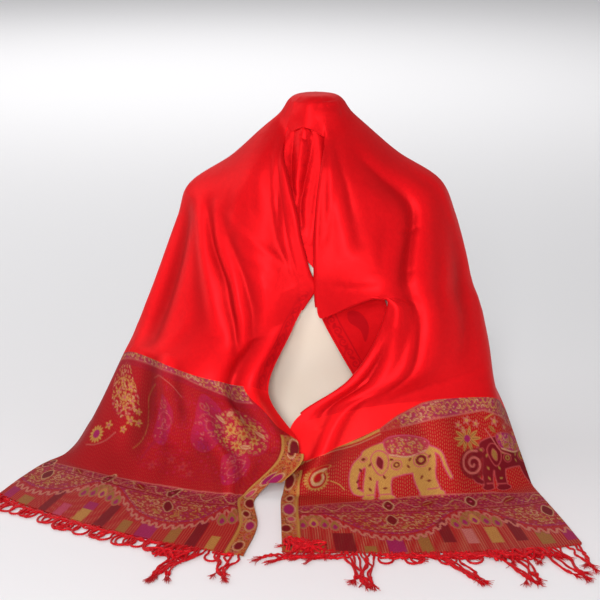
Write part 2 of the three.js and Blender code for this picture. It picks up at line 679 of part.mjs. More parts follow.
// The strip beyond a hem, and its cords, as one solid. outSide is the side of the hem away from
// the cloth.
function fringeGeometry(grid, outSide, gathers) {
  const hem = grid[grid.length - 1];
  const curve = new THREE.CatmullRomCurve3(hem, false, "centripetal");
  const strip = [];
  const thicknesses = [];
  const frames = [];
  const offset = SEAM + FRINGE.strip / 2 + 0.4;
  const stripPoints = 24;
  for (let i = 0; i <= stripPoints; i++) {
    const u = 0.006 + 0.988 * (i / stripPoints);
    const p = curve.getPointAt(u);
    const along = curve.getTangentAt(u).setZ(0).normalize();
    const outwards = new THREE.Vector3(along.y, -along.x, 0).multiplyScalar(outSide);
    p.addScaledVector(outwards, offset).setZ(FRINGE.lift + FRINGE.strip / 2);
    strip.push(p);
    thicknesses.push(FRINGE.strip);
    frames.push({ outwards, along });
  }
  let solid = solidOf(cordGeometry(strip, thicknesses, 4));
  const stripCurve = new THREE.CatmullRomCurve3(strip, false, "centripetal");
  for (let n = 0; n < FRINGE.cords; n++) {
    const u = 0.012 + (0.976 * n) / (FRINGE.cords - 1);
    const frame = frames[Math.round(u * stripPoints)];
    const root = stripCurve.getPointAt(u);
    const outwards = frame.outwards.clone();
    const lean = gathers.reduce((sum, at) => {
      return sum + (at - u) * curve.getLength() * Math.exp(-(((u - at) / FRINGE.gatherWidth) ** 2));
    }, 0);
    solid = solid.add(solidOf(fringeCord(root, outwards, frame.along, n, 0.8 * lean)));
  }
  return geometryOf(solid);
}

const RED_SILK = new THREE.MeshStandardMaterial({ color: 0xd0101a, roughness: 0.45, metalness: 0 });
const WOVEN_END = new THREE.MeshStandardMaterial({ color: 0xa83a3a, roughness: 0.6, metalness: 0 });
const FRINGE_CORD = new THREE.MeshStandardMaterial({ color: 0xe0121e, roughness: 0.4, metalness: 0 });
const FORM_SKIN = new THREE.MeshStandardMaterial({ color: 0xe6dccb, roughness: 0.4, metalness: 0 });

const shawl = new THREE.Group();

// Each piece has a material of its own, a copy of its kind's.
function addPiece(name, geometry, material) {
  const mesh = new THREE.Mesh(geometry, material.clone());
  mesh.name = name;
  shawl.add(mesh);
}

const leftGrid = halfGrid(LEFT_SECTIONS, LEFT_FOLDS);
const rightGrid = halfGrid(RIGHT_SECTIONS, RIGHT_FOLDS);
const drape = new Surface();
const leftSeams = addHalf(drape, leftGrid, LEFT_SECTIONS, "left", [
  { name: "neck_and_shoulders", until: 4 },
  { name: "left_fall", until: 8 },
  { name: "left_end", until: 13 },
]);
const rightSeams = addHalf(drape, rightGrid, RIGHT_SECTIONS, "right", [
  { name: "neck_and_shoulders", until: 4 },
  { name: "right_fall", until: 11 },
  { name: "right_end", until: 15 },
]);
addNeckCap(drape, leftGrid, rightGrid);

const seams = new Set([...leftSeams, ...rightSeams].map((p) => drape.corner(p)));
const onSeam = (corner) => seams.has(corner);
for (const name of ["neck_and_shoulders", "left_fall", "right_fall"]) {
  addPiece(name, drape.wall(name, onSeam), RED_SILK);
}
for (const name of ["left_end", "right_end"]) {
  addPiece(name, drape.wall(name, onSeam), WOVEN_END);
}
const centrePanel = sheetWall(PANEL_SECTIONS, ["left", "middle", "right"], "centre_panel", PANEL_FOLD);
const selvedge = sheetWall(SELVEDGE_SECTIONS, ["edge", "middle", "hidden"], "right_selvedge_fold");
addPiece("centre_panel", centrePanel, RED_SILK);
addPiece("right_selvedge_fold", selvedge, RED_SILK);
addPiece("left_under_layer", underLayer(leftGrid), WOVEN_END);
addPiece("left_fringe", fringeGeometry(leftGrid, -1, FRINGE.leftGathers), FRINGE_CORD);
addPiece("right_fringe", fringeGeometry(rightGrid, 1, FRINGE.rightGathers), FRINGE_CORD);
addPiece("dress_form", formGeometry(), FORM_SKIN);

export default shawl;
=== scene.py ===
import math

import bpy
import numpy as np
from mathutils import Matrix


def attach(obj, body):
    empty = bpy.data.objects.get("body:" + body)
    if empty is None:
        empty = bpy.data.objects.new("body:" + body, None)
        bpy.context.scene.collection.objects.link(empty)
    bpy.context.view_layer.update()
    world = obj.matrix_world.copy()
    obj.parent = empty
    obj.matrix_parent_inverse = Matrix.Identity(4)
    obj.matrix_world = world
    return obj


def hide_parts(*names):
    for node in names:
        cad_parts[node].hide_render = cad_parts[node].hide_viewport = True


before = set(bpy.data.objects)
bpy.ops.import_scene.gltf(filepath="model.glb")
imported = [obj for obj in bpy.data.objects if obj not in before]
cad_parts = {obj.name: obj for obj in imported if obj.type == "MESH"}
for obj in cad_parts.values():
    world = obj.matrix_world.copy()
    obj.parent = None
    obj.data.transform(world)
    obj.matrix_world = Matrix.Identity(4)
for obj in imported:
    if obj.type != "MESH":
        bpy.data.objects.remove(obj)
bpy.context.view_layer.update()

# The camera stands 1.8 m in front of the form, a little above the neck, and looks down at the
# shawl's ends, so that the whole drape just fills the square picture.
CAMERA_PLACE = (-0.023, -1.80, 0.79)
CAMERA_PITCH = math.radians(17.8)
bpy.ops.object.select_all(action="DESELECT")
bpy.ops.object.camera_add(location=CAMERA_PLACE, rotation=(math.pi / 2 - CAMERA_PITCH, 0, 0))
camera = bpy.context.object
camera.data.sensor_width = 36
camera.data.lens = 73.86
bpy.context.scene.camera = camera


# The room is a plain studio: a pale table top under one broad soft light from the upper left,
# weaker lamps on the right, in front and on the left, and one that only lifts the far table.
def new_material(name, colour, roughness, **settings):
    """A node material with its Principled shader's colour, roughness and other sockets set."""
    material = bpy.data.materials.new(name)
    material.use_nodes = True
    shader = material.node_tree.nodes["Principled BSDF"]
    shader.inputs["Base Color"].default_value = (*colour, 1)
    shader.inputs["Roughness"].default_value = roughness
    for key, value in settings.items():
        shader.inputs[key.replace("_", " ")].default_value = value
    return material, material.node_tree, shader


bpy.ops.mesh.primitive_plane_add(size=60, location=(0, 0, -0.0004))
floor = bpy.context.object
floor.name = "table_top"
floor.data.materials.append(new_material("pale_table", (0.80, 0.79, 0.80), 0.6)[0])

bpy.ops.object.light_add(type="SUN", location=(-1.5, -2.5, 2.4))
key_light = bpy.context.object
key_light.name = "key_light"
key_light.data.energy = 0.95
key_light.data.angle = math.radians(16)
key_light.rotation_euler = (math.radians(48), 0, math.radians(-14))
LAMPS = [  # name, place, what it points at, size, watts
    ("fill_lamp", (1.9, -1.7, 1.0), (0, 0, 0.25), 1.2, 3),
    ("near_lamp", (-0.12, -2.0, 0.95), (0, 0, 0.25), 0.4, 25),
    ("side_lamp", (-2.2, 0.2, 1.6), (-0.6, 0, 0), 1.4, 14),
    ("far_lamp", (-0.9, 4.6, 3.2), (-0.9, 5.6, 0), 5.0, 150),
]
for name, place, target, size, watts in LAMPS:
    bpy.ops.object.light_add(type="AREA", location=place)
    lamp = bpy.context.object
    lamp.name = name
    lamp.data.size = size
    lamp.data.energy = watts
    aim = lamp.location.copy()
    aim.xyz = target
    lamp.rotation_euler = (aim - lamp.location).to_track_quat("-Z", "Y").to_euler()
room = bpy.data.worlds.new("pale_room")
room.use_nodes = True
room.node_tree.nodes["Background"].inputs["Color"].default_value = (0.95, 0.95, 0.97, 1)
room.node_tree.nodes["Background"].inputs["Strength"].default_value = 0.33
bpy.context.scene.world = room
bpy.context.scene.view_settings.view_transform = "Standard"


# The dress form is a half torso moulded in cream plastic, with a flat base, a bust and a closed
# neck. It is drawn up ring by ring from its base, and each ring is pulled onto the form's curve.
MM = 0.001
FORM_RINGS = np.array([  # height, half width, depth to the front, depth to the back
    (0, 126, 90, 72), (60, 121, 86, 70), (120, 119, 87, 69), (180, 131, 98, 74),
    (230, 147, 108, 80), (270, 158, 108, 85), (305, 168, 100, 86), (335, 179, 88, 82),
    (358, 182, 76, 74), (373, 176, 66, 65), (386, 160, 58, 58), (400, 126, 51, 53),
    (416, 88, 46, 49), (434, 57, 42, 45), (455, 45, 40, 41), (482, 42, 40, 39),
    (503, 39, 38, 36), (515, 29, 28, 27), (520, 15, 15, 15),
]) * MM
FORM_TOP = 0.5215
FORM_SQUARENESS = 2.3
BUST_OUT, BUST_UP, BUST_DEPTH, BUST_WIDE, BUST_TALL = 0.080, 0.262, 0.027, 0.038, 0.037
FORM_CORNER = 0.004


def read_smoothly(marks, values, x):
    """The values at their marks, read at x on a smooth line through them."""
    i = np.clip(np.searchsorted(marks, x) - 1, 0, len(marks) - 2)
    before, after = np.maximum(i - 1, 0), np.minimum(i + 2, len(marks) - 1)
    span = marks[i + 1] - marks[i]
    t = np.clip((x - marks[i]) / span, 0, 1)
    low = (values[i + 1] - values[before]) / (marks[i + 1] - marks[before]) * span
    high = (values[after] - values[i]) / (marks[after] - marks[i]) * span
    rise = 3 * t ** 2 - 2 * t ** 3
    return (1 - rise) * values[i] + rise * values[i + 1] + t * (1 - t) * ((1 - t) * low - t * high)


def ring_value(column, z):
    """One column of the form's rings at the heights z."""
    return read_smoothly(FORM_RINGS[:, 0], FORM_RINGS[:, column], z)


def form_level(p):
    """Below 1 inside the form, 1 on its skin and above 1 outside it."""
    x, y, z = p[..., 0], p[..., 1], p[..., 2]
    bust = BUST_DEPTH * np.exp(-((np.abs(x) - BUST_OUT) / BUST_WIDE) ** 2 - ((z - BUST_UP) / BUST_TALL) ** 2)
    depth = np.where(y < 0, ring_value(2, z) + bust, ring_value(3, z))
    return (np.abs(x) / ring_value(1, z)) ** FORM_SQUARENESS + (np.abs(y) / depth) ** FORM_SQUARENESS


form_heights = np.unique(np.concatenate([
    np.linspace(0, FORM_CORNER, 5), np.linspace(0.01, 0.34, 56), np.linspace(0.345, 0.52, 48)]))
bpy.ops.object.select_all(action="DESELECT")
bpy.ops.mesh.primitive_circle_add(vertices=128, radius=0.1, fill_type="NGON")
form_body = bpy.context.object
form_body.name = "form_body"
bpy.ops.object.mode_set(mode="EDIT")
bpy.ops.mesh.select_all(action="SELECT")
for rise in np.diff(form_heights):
    bpy.ops.mesh.extrude_region_move(TRANSFORM_OT_translate={"value": (0, 0, float(rise))})
bpy.ops.mesh.poke()
bpy.ops.mesh.select_all(action="SELECT")
bpy.ops.mesh.normals_make_consistent(inside=False)
bpy.ops.object.mode_set(mode="OBJECT")
places = np.empty(len(form_body.data.vertices) * 3)
form_body.data.vertices.foreach_get("co", places)
places = places.reshape(-1, 3)
on_ring = np.hypot(places[:, 0], places[:, 1]) > 0.01
direction = places[on_ring] * (1, 1, 0) / 0.1
inside, outside = np.zeros(len(direction)), np.full(len(direction), 0.3)
for _ in range(24):
    radius = (inside + outside) / 2
    within = form_level(direction * radius[:, None] + places[on_ring] * (0, 0, 1)) < 1
    inside, outside = np.where(within, radius, inside), np.where(within, outside, radius)
corner = np.clip(1 - places[on_ring][:, 2] / FORM_CORNER, 0, 1)
inside -= FORM_CORNER * (1 - np.sqrt(1 - corner ** 2))
places[on_ring, :2] = direction[:, :2] * inside[:, None]
places[~on_ring & (places[:, 2] > 0.3), 2] = FORM_TOP
form_body.data.vertices.foreach_set("co", places.ravel())
bpy.ops.object.shade_smooth_by_angle(angle=math.radians(50))

def add_node(tree, kind, links=(), **settings):
    """A node with its sockets set by name, and links into it from other nodes' sockets."""
    node = tree.nodes.new("ShaderNode" + kind)
    for key, value in settings.items():
        if key[0].islower():
            setattr(node, key, value)
        else:
            node.inputs[key.replace("_", " ")].default_value = value
    for socket, source in links:
        tree.links.new(source, node.inputs[socket])
    return node


def noise(tree, places, scale, detail=2.0, **settings):
    """A Noise Texture's value at the places."""
    links = [("Vector", places)]
    return add_node(tree, "TexNoise", links, Scale=scale, Detail=detail, **settings).outputs["Fac"]


def bumped(tree, *layers):
    """The normal of a fine relief, from each layer's height, strength and distance."""
    links = []
    for height, strength, distance in layers:
        bump = add_node(tree, "Bump", [("Height", height), *links], Strength=strength, Distance=distance)
        links = [("Normal", bump.outputs["Normal"])]
    return bump.outputs["Normal"]


form_skin, tree, shader = new_material("cream_plastic", (0.88, 0.79, 0.66), 0.42)
place = add_node(tree, "TexCoord").outputs["Object"]
tone = add_node(tree, "ValToRGB", [("Fac", noise(tree, place, 7.0))])
for element, position, colour in zip(tone.color_ramp.elements, (0.3, 0.7), (
        (0.86, 0.76, 0.62, 1), (0.92, 0.84, 0.72, 1))):
    element.position, element.color = position, colour
tree.links.new(tone.outputs["Color"], shader.inputs["Base Color"])
grain = noise(tree, place, 900.0, 3.0)
tree.links.new(bumped(tree, (grain, 0.12, 0.0004)), shader.inputs["Normal"])
form_body.data.materials.append(form_skin)
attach(form_body, "root")
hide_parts("dress_form")


# The shawl is one length of red silk and wool satin, doubled along its length. From the neck's
# cap its two halves fall over the shoulders to the woven ends, with the fold turned under along
# the front opening. Each half is lofted through named points, then its folds are pressed in.
CLOTH_HALF = 0.0012
CLEARANCE = 0.0008
LANDING = 0.005
TURN_RADIUS = 0.004
# Each section, in millimetres: the fold beside the opening, the front on the breast, the side on
# the shoulder or the outer slope, the folded back edge, and how far the cloth is turned under.
LEFT_SECTIONS = {
    "neck": ((-43, -29, 473), (-49, -9, 489), (-47, 12, 501), (0, 47, 482), 0),
    "neck slope": ((-50, -74, 446), (-72, -49, 461), (-80, 2, 476), (-20, 78, 444), 14),
    "mid shoulder": ((-41, -100, 407), (-98, -75, 420), (-122, 2, 438), (-62, 97, 394), 26),
    "shoulder tip": ((-33, -115, 375), (-116, -86, 372), (-189, 2, 392), (-116, 102, 338), 28),
    "upper arm": ((-26, -123, 340), (-118, -112, 322), (-207, -2, 346), (-166, 86, 290), 28),
    "bust": ((-16, -128, 305), (-114, -132, 278), (-229, -14, 288), (-206, 60, 235), 24),
    "closing point": ((-9, -132, 272), (-120, -142, 233), (-252, -28, 228), (-238, 32, 180), 12),
    "below the bust": ((-33, -138, 215), (-142, -150, 190), (-270, -45, 180), (-266, 2, 130), 0),
    "end panel": ((-69, -150, 122), (-170, -158, 148), (-284, -64, 150), (-296, -28, 98), 0),
    "inner corner": ((-25, -226, 73), (-150, -200, 88), (-314, -106, 80), (-340, -78, 44), 0),
    "inner turn": ((-28, -238, 57), (-158, -214, 54), (-330, -130, 42), (-362, -100, 14), 0),
    "table": ((-84, -250, 3), (-176, -244, -6), (-352, -162, -6), (-398, -134, -6), 0),
    "lower border": ((-80, -332, -6), (-200, -304, -6), (-376, -214, -6), (-424, -184, -6), 0),
    "hem": ((-95, -409, -6), (-218, -368, -6), (-392, -278, -6), (-445, -238, -6), 0),
}
RIGHT_SECTIONS = {
    "neck": ((13, -46, 472), (40, -25, 488), (48, 12, 503), (0, 47, 482), 0),
    "neck slope": ((10, -85, 440), (52, -64, 456), (78, 2, 479), (22, 78, 445), 14),
    "mid shoulder": ((5, -106, 394), (80, -86, 404), (122, 2, 441), (64, 97, 398), 26),
    "shoulder tip": ((2, -121, 346), (100, -98, 358), (187, 2, 398), (116, 102, 342), 28),
    "upper arm": ((1, -129, 309), (102, -126, 320), (209, -6, 350), (168, 86, 292), 26),
    "bust": ((1, -134, 275), (102, -146, 293), (225, -24, 296), (204, 58, 240), 14),
    "dart": ((6, -137, 229), (108, -151, 280), (232, -38, 264), (218, 44, 212), 0),
    "dart end": ((47, -145, 256), (118, -152, 267), (236, -45, 250), (224, 38, 200), 0),
    "swag top": ((100, -153, 266), (136, -152, 252), (241, -56, 236), (231, 30, 186), 16),
    "swag crest": ((91, -159, 212), (144, -162, 210), (248, -70, 204), (241, 12, 156), 30),
    "swag": ((52, -173, 151), (134, -174, 160), (253, -92, 168), (254, -16, 126), 32),
    "end panel": ((-34, -197, 91), (84, -186, 114), (252, -140, 108), (278, -104, 84), 0),
    "inner corner": ((-40, -214, 36), (94, -216, 60), (258, -182, 56), (296, -164, 34), 0),
    "table": ((-49, -252, -6), (106, -264, -6), (262, -246, -6), (312, -234, -6), 0),
    "lower border": ((-48, -330, -6), (120, -332, -6), (278, -316, -6), (328, -306, -6), 0),
    "hem": ((-46, -400, -6), (126, -402, -6), (292, -391, -6), (342, -379, -6), 0),
}
# Each fold runs down the cloth through places counted in sections from the neck, and across from
# the fold (0) over the front (1) and the side (2) to the back edge (3). Then come its height,
# negative in a trough, and its widths towards the fold and towards the back, in millimetres.
LEFT_FOLDS = [
    (((0.5, 0.45), (2.1, 0.28), (3.9, 0.29), (5.7, 0.24)), -5, 8, 16),
    (((3, 1.5), (3.8, 1.42), (5.3, 1.25), (6.7, 1.06)), 6, 10, 15),
    (((2.8, 1.4), (3.6, 1.34), (5, 1.13), (6.1, 0.98), (7.9, 0.42)), -9, 9, 10),
    (((4.2, 1.06), (5.5, 0.96), (7, 0.66), (7.8, 0.46)), 3, 7, 7),
    (((2.9, 1.2), (4.3, 0.94), (6.2, 0.7), (7.9, 0.3)), -7, 18, 11),
    (((3.2, 1.72), (7.8, 1.66)), -12, 18, 22), (((6.8, 0.22), (9.8, 0.3)), 7, 11, 11),
    (((7, 0.48), (9.4, 0.55)), -9, 13, 13), (((8, 1.1), (10.2, 1.2)), 9, 24, 24),
    (((7.6, 1.36), (8.7, 1.33), (10, 1.28)), 8, 12, 12),
    (((7.9, 1.53), (9, 1.55), (10.4, 1.52)), -7, 12, 14),
    (((1.4, 2.6), (5.6, 2.55)), 8, 18, 18), (((2.4, 2.3), (6.8, 2.25)), -7, 16, 16),
]
RIGHT_FOLDS = [
    (((0.8, 0.2), (4, 0.42)), 6, 14, 14),
    (((0.6, 0.9), (2.4, 1.34), (4.4, 1.24), (6.2, 1.16), (7.6, 1.1), (9.2, 1.02), (10.8, 1.0)), -10, 26, 9),
    (((1.8, 1.52), (2.6, 1.5), (4.4, 1.38), (6.3, 1.3), (7.8, 1.24), (9.4, 1.16), (10.6, 1.1)), 3, 10, 26),
    (((7.2, 0.42), (8, 0.34), (9.1, 0.36), (10.2, 0.4)), 7, 12, 12),
    (((4, 1.8), (10.4, 1.6)), -5, 20, 22), (((8.8, 0.34), (10.1, 0.3), (11.3, 0.4)), -8, 11, 15),
    (((10.6, 0.75), (12.9, 0.08)), 9, 12, 12), (((11, 1.4), (13, 1.5)), 7, 22, 22),
    (((1.4, 2.6), (7, 2.5)), 8, 18, 18), (((2.4, 2.3), (8.6, 2.2)), -7, 16, 16),
]
# Finer creases may run any way over the cloth: places, height and width.
LEFT_CREASES = [
    (((0.1, 0.17), (2, 0.16), (4.4, 0.15), (6, 0.13)), -1.5, 3),
    (((0.2, 0.34), (2, 0.31), (4.2, 0.25)), 2.0, 5),
    (((2.93, 1.35), (3.43, 0.88), (4.27, 0.43), (5.43, 0.13)), 1.1, 6),
    (((3.1, 1.55), (3.9, 1.02), (5.0, 0.52), (6.2, 0.2)), -0.9, 7),
    (((1.2, 0.9), (2.2, 0.75), (3.4, 0.55)), -1.0, 9), (((4.6, 0.62), (5.6, 0.6), (6.6, 0.52)), 1.0, 6),
    (((5.2, 1.5), (6.4, 1.4), (7.7, 1.5)), 1.2, 9), (((3.3, 1.98), (4.6, 2.06), (6.2, 2.0)), -1.1, 8),
    (((6.2, 1.85), (7.3, 1.98), (8.6, 1.9)), -1.2, 10), (((2.2, 1.1), (2.9, 1.0), (3.8, 1.12)), 0.9, 8),
    (((8.9, 0.9), (8.6, 1.2), (8.9, 1.6)), 1.0, 9), (((8.4, 0.62), (9.1, 0.78), (10.0, 0.8)), 1.3, 8),
    (((9.4, 1.35), (10.4, 1.3), (11.4, 1.42)), -1.2, 11),
    (((9.9, 0.42), (10.6, 0.32), (11.2, 0.12)), -1.6, 5),
    (((8.4, 0.97), (8.95, 0.95), (9.8, 0.78), (10.7, 0.43), (11.8, 0.12)), -3.2, 5),
    (((8.7, 1.08), (9.5, 0.96), (10.5, 0.62), (11.2, 0.34)), 2.6, 8),
    (((2.6, 2.75), (4.2, 2.8), (6.4, 2.7)), -1.2, 10), (((5.4, 2.4), (6.8, 2.42), (8.4, 2.5)), 1.2, 9),
]
RIGHT_CREASES = [
    (((0.1, 0.2), (1.6, 0.2), (3.4, 0.1)), 1.6, 5), (((0.3, 0.42), (1.6, 0.5), (2.8, 0.5)), -1.4, 6),
    (((5.0, 0.16), (5.2, 0.46), (5.62, 0.93)), -1.0, 5),
    (((3.43, 1.13), (3.56, 1.27), (3.7, 1.42)), -1.2, 3.5),
    (((7.5, 1.16), (8.3, 1.08), (9.1, 1.03)), 1.1, 5), (((10.9, 1.1), (10.6, 1.38), (10.36, 1.88)), -1.4, 4),
    (((1.0, 0.5), (2.4, 0.62), (3.8, 0.72)), 1.0, 10), (((2.6, 0.95), (3.6, 0.9), (4.8, 0.86)), -1.0, 9),
    (((4.6, 1.6), (6.4, 1.52), (8.6, 1.42)), 1.2, 8), (((5.6, 1.95), (7.6, 1.9), (9.8, 1.78)), -1.0, 9),
    (((8.5, 0.14), (9.6, 0.1), (10.7, 0.1)), 1.3, 5), (((9.2, 0.24), (10.2, 0.2), (11.1, 0.24)), -1.3, 4),
    (((8.9, 0.72), (9.8, 0.66), (10.8, 0.6)), -1.2, 8), (((8.6, 0.9), (9.9, 0.84), (11.2, 0.9)), 1.0, 7),
    (((2.2, 1.75), (3.4, 1.8), (5.0, 1.86)), 1.0, 9), (((2.8, 2.8), (4.6, 2.75), (7.2, 2.8)), -1.2, 10),
    (((6, 2.35), (7.8, 2.4), (9.8, 2.45)), 1.1, 9), (((11.6, 1.9), (12.4, 1.86), (13.2, 1.95)), 1.2, 9),
]
HALVES = {  # the tables, the section where the woven end starts, and which way is out along x
    "left": (LEFT_SECTIONS, LEFT_FOLDS, LEFT_CREASES, 8, -1),
    "right": (RIGHT_SECTIONS, RIGHT_FOLDS, RIGHT_CREASES, 11, 1),
}


def through(points, places):
    """The points (..., n, 3) joined by a smooth curve, read at places counted from the first."""
    count = points.shape[-2]
    places = np.clip(places, 0, count - 1)
    i = np.minimum(places.astype(int), count - 2)
    t = (places - i)[:, None]
    first = 2 * points[..., :1, :] - points[..., 1:2, :]
    last = 2 * points[..., -1:, :] - points[..., -2:-1, :]
    padded = np.concatenate([first, points, last], axis=-2)
    a, b, c, d = (padded[..., i + k, :] for k in range(4))
    before, own, after = (np.linalg.norm(q - p, axis=-1, keepdims=True) ** 0.5
                          for p, q in ((a, b), (b, c), (c, d)))
    start = own * ((b - a) / before - (c - a) / (before + own) + (c - b) / own)
    end = own * ((c - b) / own - (d - b) / (own + after) + (d - c) / after)
    return b + start * t + (3 * (c - b) - 2 * start - end) * t ** 2 + (2 * (b - c) + start + end) * t ** 3


def rest_on_form(p, clearance=CLOTH_HALF + CLEARANCE):
    """Moves points out of the form until they are clear of its skin."""
    flat = p.reshape(-1, 3).copy()
    todo = np.nonzero(flat[:, 2] <= FORM_TOP + clearance)[0]
    step = 0.0005
    for _ in range(6):
        q = flat[todo]
        rises = [form_level(q + d) - form_level(q - d) for d in np.eye(3) * step]
        slope = np.stack(rises, axis=-1) / (2 * step)
        steep = np.maximum(np.linalg.norm(slope, axis=-1), 0.1)
        short = clearance - (form_level(q) - 1) / steep
        flat[todo] += slope * (np.clip(short, 0, 0.008) / steep)[:, None]
        todo = todo[short > 0]
    return flat.reshape(p.shape)


def rest_on_table(p):
    """Lets the cloth down onto the table in a soft curve, and never lower."""
    high = p[..., 2] - CLOTH_HALF
    soft = CLOTH_HALF + (high + LANDING) ** 2 / (4 * LANDING)
    p[..., 2] = np.where(high < -LANDING, CLOTH_HALF, np.where(high < LANDING, soft, p[..., 2]))
    return p


def grid_normals(grid):
    """The direction square to a grid of points at each one."""
    down = np.gradient(grid, axis=0)
    across = np.gradient(grid, axis=1)
    normal = np.cross(down, across)
    return normal / np.maximum(np.linalg.norm(normal, axis=-1, keepdims=True), 1e-12)


def pressed_in(grid, folds, rows, columns, side):
    """The grid with its folds raised or sunk along its normals."""
    steps = np.linalg.norm(np.diff(grid, axis=1), axis=-1)
    lengths = np.concatenate([np.zeros((len(rows), 1)), np.cumsum(steps, axis=1)], axis=1)
    shift = np.zeros(grid.shape[:2])
    for path, height, to_fold, to_back in folds:
        marks, places = np.array(path, dtype=float).T
        along = np.clip((rows - marks[0]) / (marks[-1] - marks[0]), 0, 1)
        strength = height * MM * np.sin(np.pi * along) ** 0.8
        centre_columns = read_smoothly(marks, places, rows)
        for r in np.nonzero(strength)[0]:
            away = lengths[r] - np.interp(centre_columns[r], columns, lengths[r])
            shift[r] += strength[r] * np.exp(-(away / (np.where(away < 0, to_fold, to_back) * MM)) ** 2)
    return grid + grid_normals(grid) * (side * shift)[..., None]


def creased(grid, creases, rows, columns, side):
    """The grid with fine creases, each a soft line through its places on the cloth."""
    shift = np.zeros(grid.shape[:2])
    for path, height, width in creases:
        line = through(np.array(path, dtype=float), np.linspace(0, len(path) - 1, 25))
        r = np.clip(np.interp(line[:, 0], rows, range(len(rows))).round().astype(int), 0, len(rows) - 1)
        c = np.interp(line[:, 1], columns, range(len(columns))).round().astype(int)
        if not rows[0] <= line[:, 0].max() or not line[:, 0].min() <= rows[-1]:
            continue
        points = grid[r, c]
        nearest = np.full(grid.shape[:2], 1.0)
        share = np.zeros(grid.shape[:2])
        reach = np.all((grid > points.min(axis=0) - 0.03) & (grid < points.max(axis=0) + 0.03), axis=-1)
        near = grid[reach]
        best, along = np.full(len(near), 1.0), np.zeros(len(near))
        for k, (a, b) in enumerate(zip(points, points[1:])):
            span = b - a
            t = np.clip((near - a) @ span / max(span @ span, 1e-12), 0, 1)
            away = np.linalg.norm(near - a - t[:, None] * span, axis=-1)
            closer = away < best
            best[closer], along[closer] = away[closer], (k + t[closer]) / (len(points) - 1)
        nearest[reach], share[reach] = best, along
        shift += height * MM * np.sin(np.pi * share) ** 0.7 * np.exp(-(nearest / (width * MM)) ** 2)
    return grid + grid_normals(grid) * (side * shift)[..., None]


def half_grid(sections, folds, creases, rows, columns, side):
    """Points of one half of the shawl, from its fold to its back edge; side is -1 on the left."""
    named = np.array([section[:4] for section in sections.values()]) * MM
    rails = through(np.swapaxes(named, 0, 1), rows)
    grid = through(np.swapaxes(rails, 0, 1), columns)
    grid = rest_on_table(rest_on_form(pressed_in(grid, folds, rows, columns, side)))
    return rest_on_table(rest_on_form(creased(grid, creases, rows, columns, side)))


def arc_lengths(grid, axis):
    """How far each point lies along the grid's lines."""
    steps = np.linalg.norm(np.diff(grid, axis=axis), axis=-1)
    start = np.zeros_like(np.take(grid[..., 0], [0], axis=axis))
    return np.concatenate([start, np.cumsum(steps, axis=axis)], axis=axis)


def turned_under(grid, tuck, side, turn_steps=7, straight_steps=3):
    """For each row, points of the cloth turned under at the fold: a half turn, then straight."""
    edge = grid[:, 0]
    inwards = grid[:, 1] - edge
    inwards /= np.linalg.norm(inwards, axis=-1, keepdims=True)
    behind = np.cross(np.gradient(edge, axis=0), inwards) * -side
    behind /= np.linalg.norm(behind, axis=-1, keepdims=True)
    radius = np.minimum(TURN_RADIUS, tuck / 3)
    columns = []
    for k in range(1, turn_steps + straight_steps + 1):
        turned = min(k / turn_steps, 1) * math.pi
        straight = max(0, k - turn_steps) / straight_steps * tuck
        columns.append(edge + inwards * (straight - radius * math.sin(turned))[:, None]
                       + behind * (radius * (1 - math.cos(turned)))[:, None])
    return rest_on_table(rest_on_form(np.stack(columns, axis=1)))


def new_piece(name, corners, faces):
    """A piece of mesh from its corners and faces, selected by itself."""
    mesh = bpy.data.meshes.new(name)
    mesh.from_pydata(corners.tolist(), [], faces)
    mesh.update()
    piece = bpy.data.objects.new(name, mesh)
    bpy.context.collection.objects.link(piece)
    bpy.ops.object.select_all(action="DESELECT")
    piece.select_set(True)
    bpy.context.view_layer.objects.active = piece
    return piece


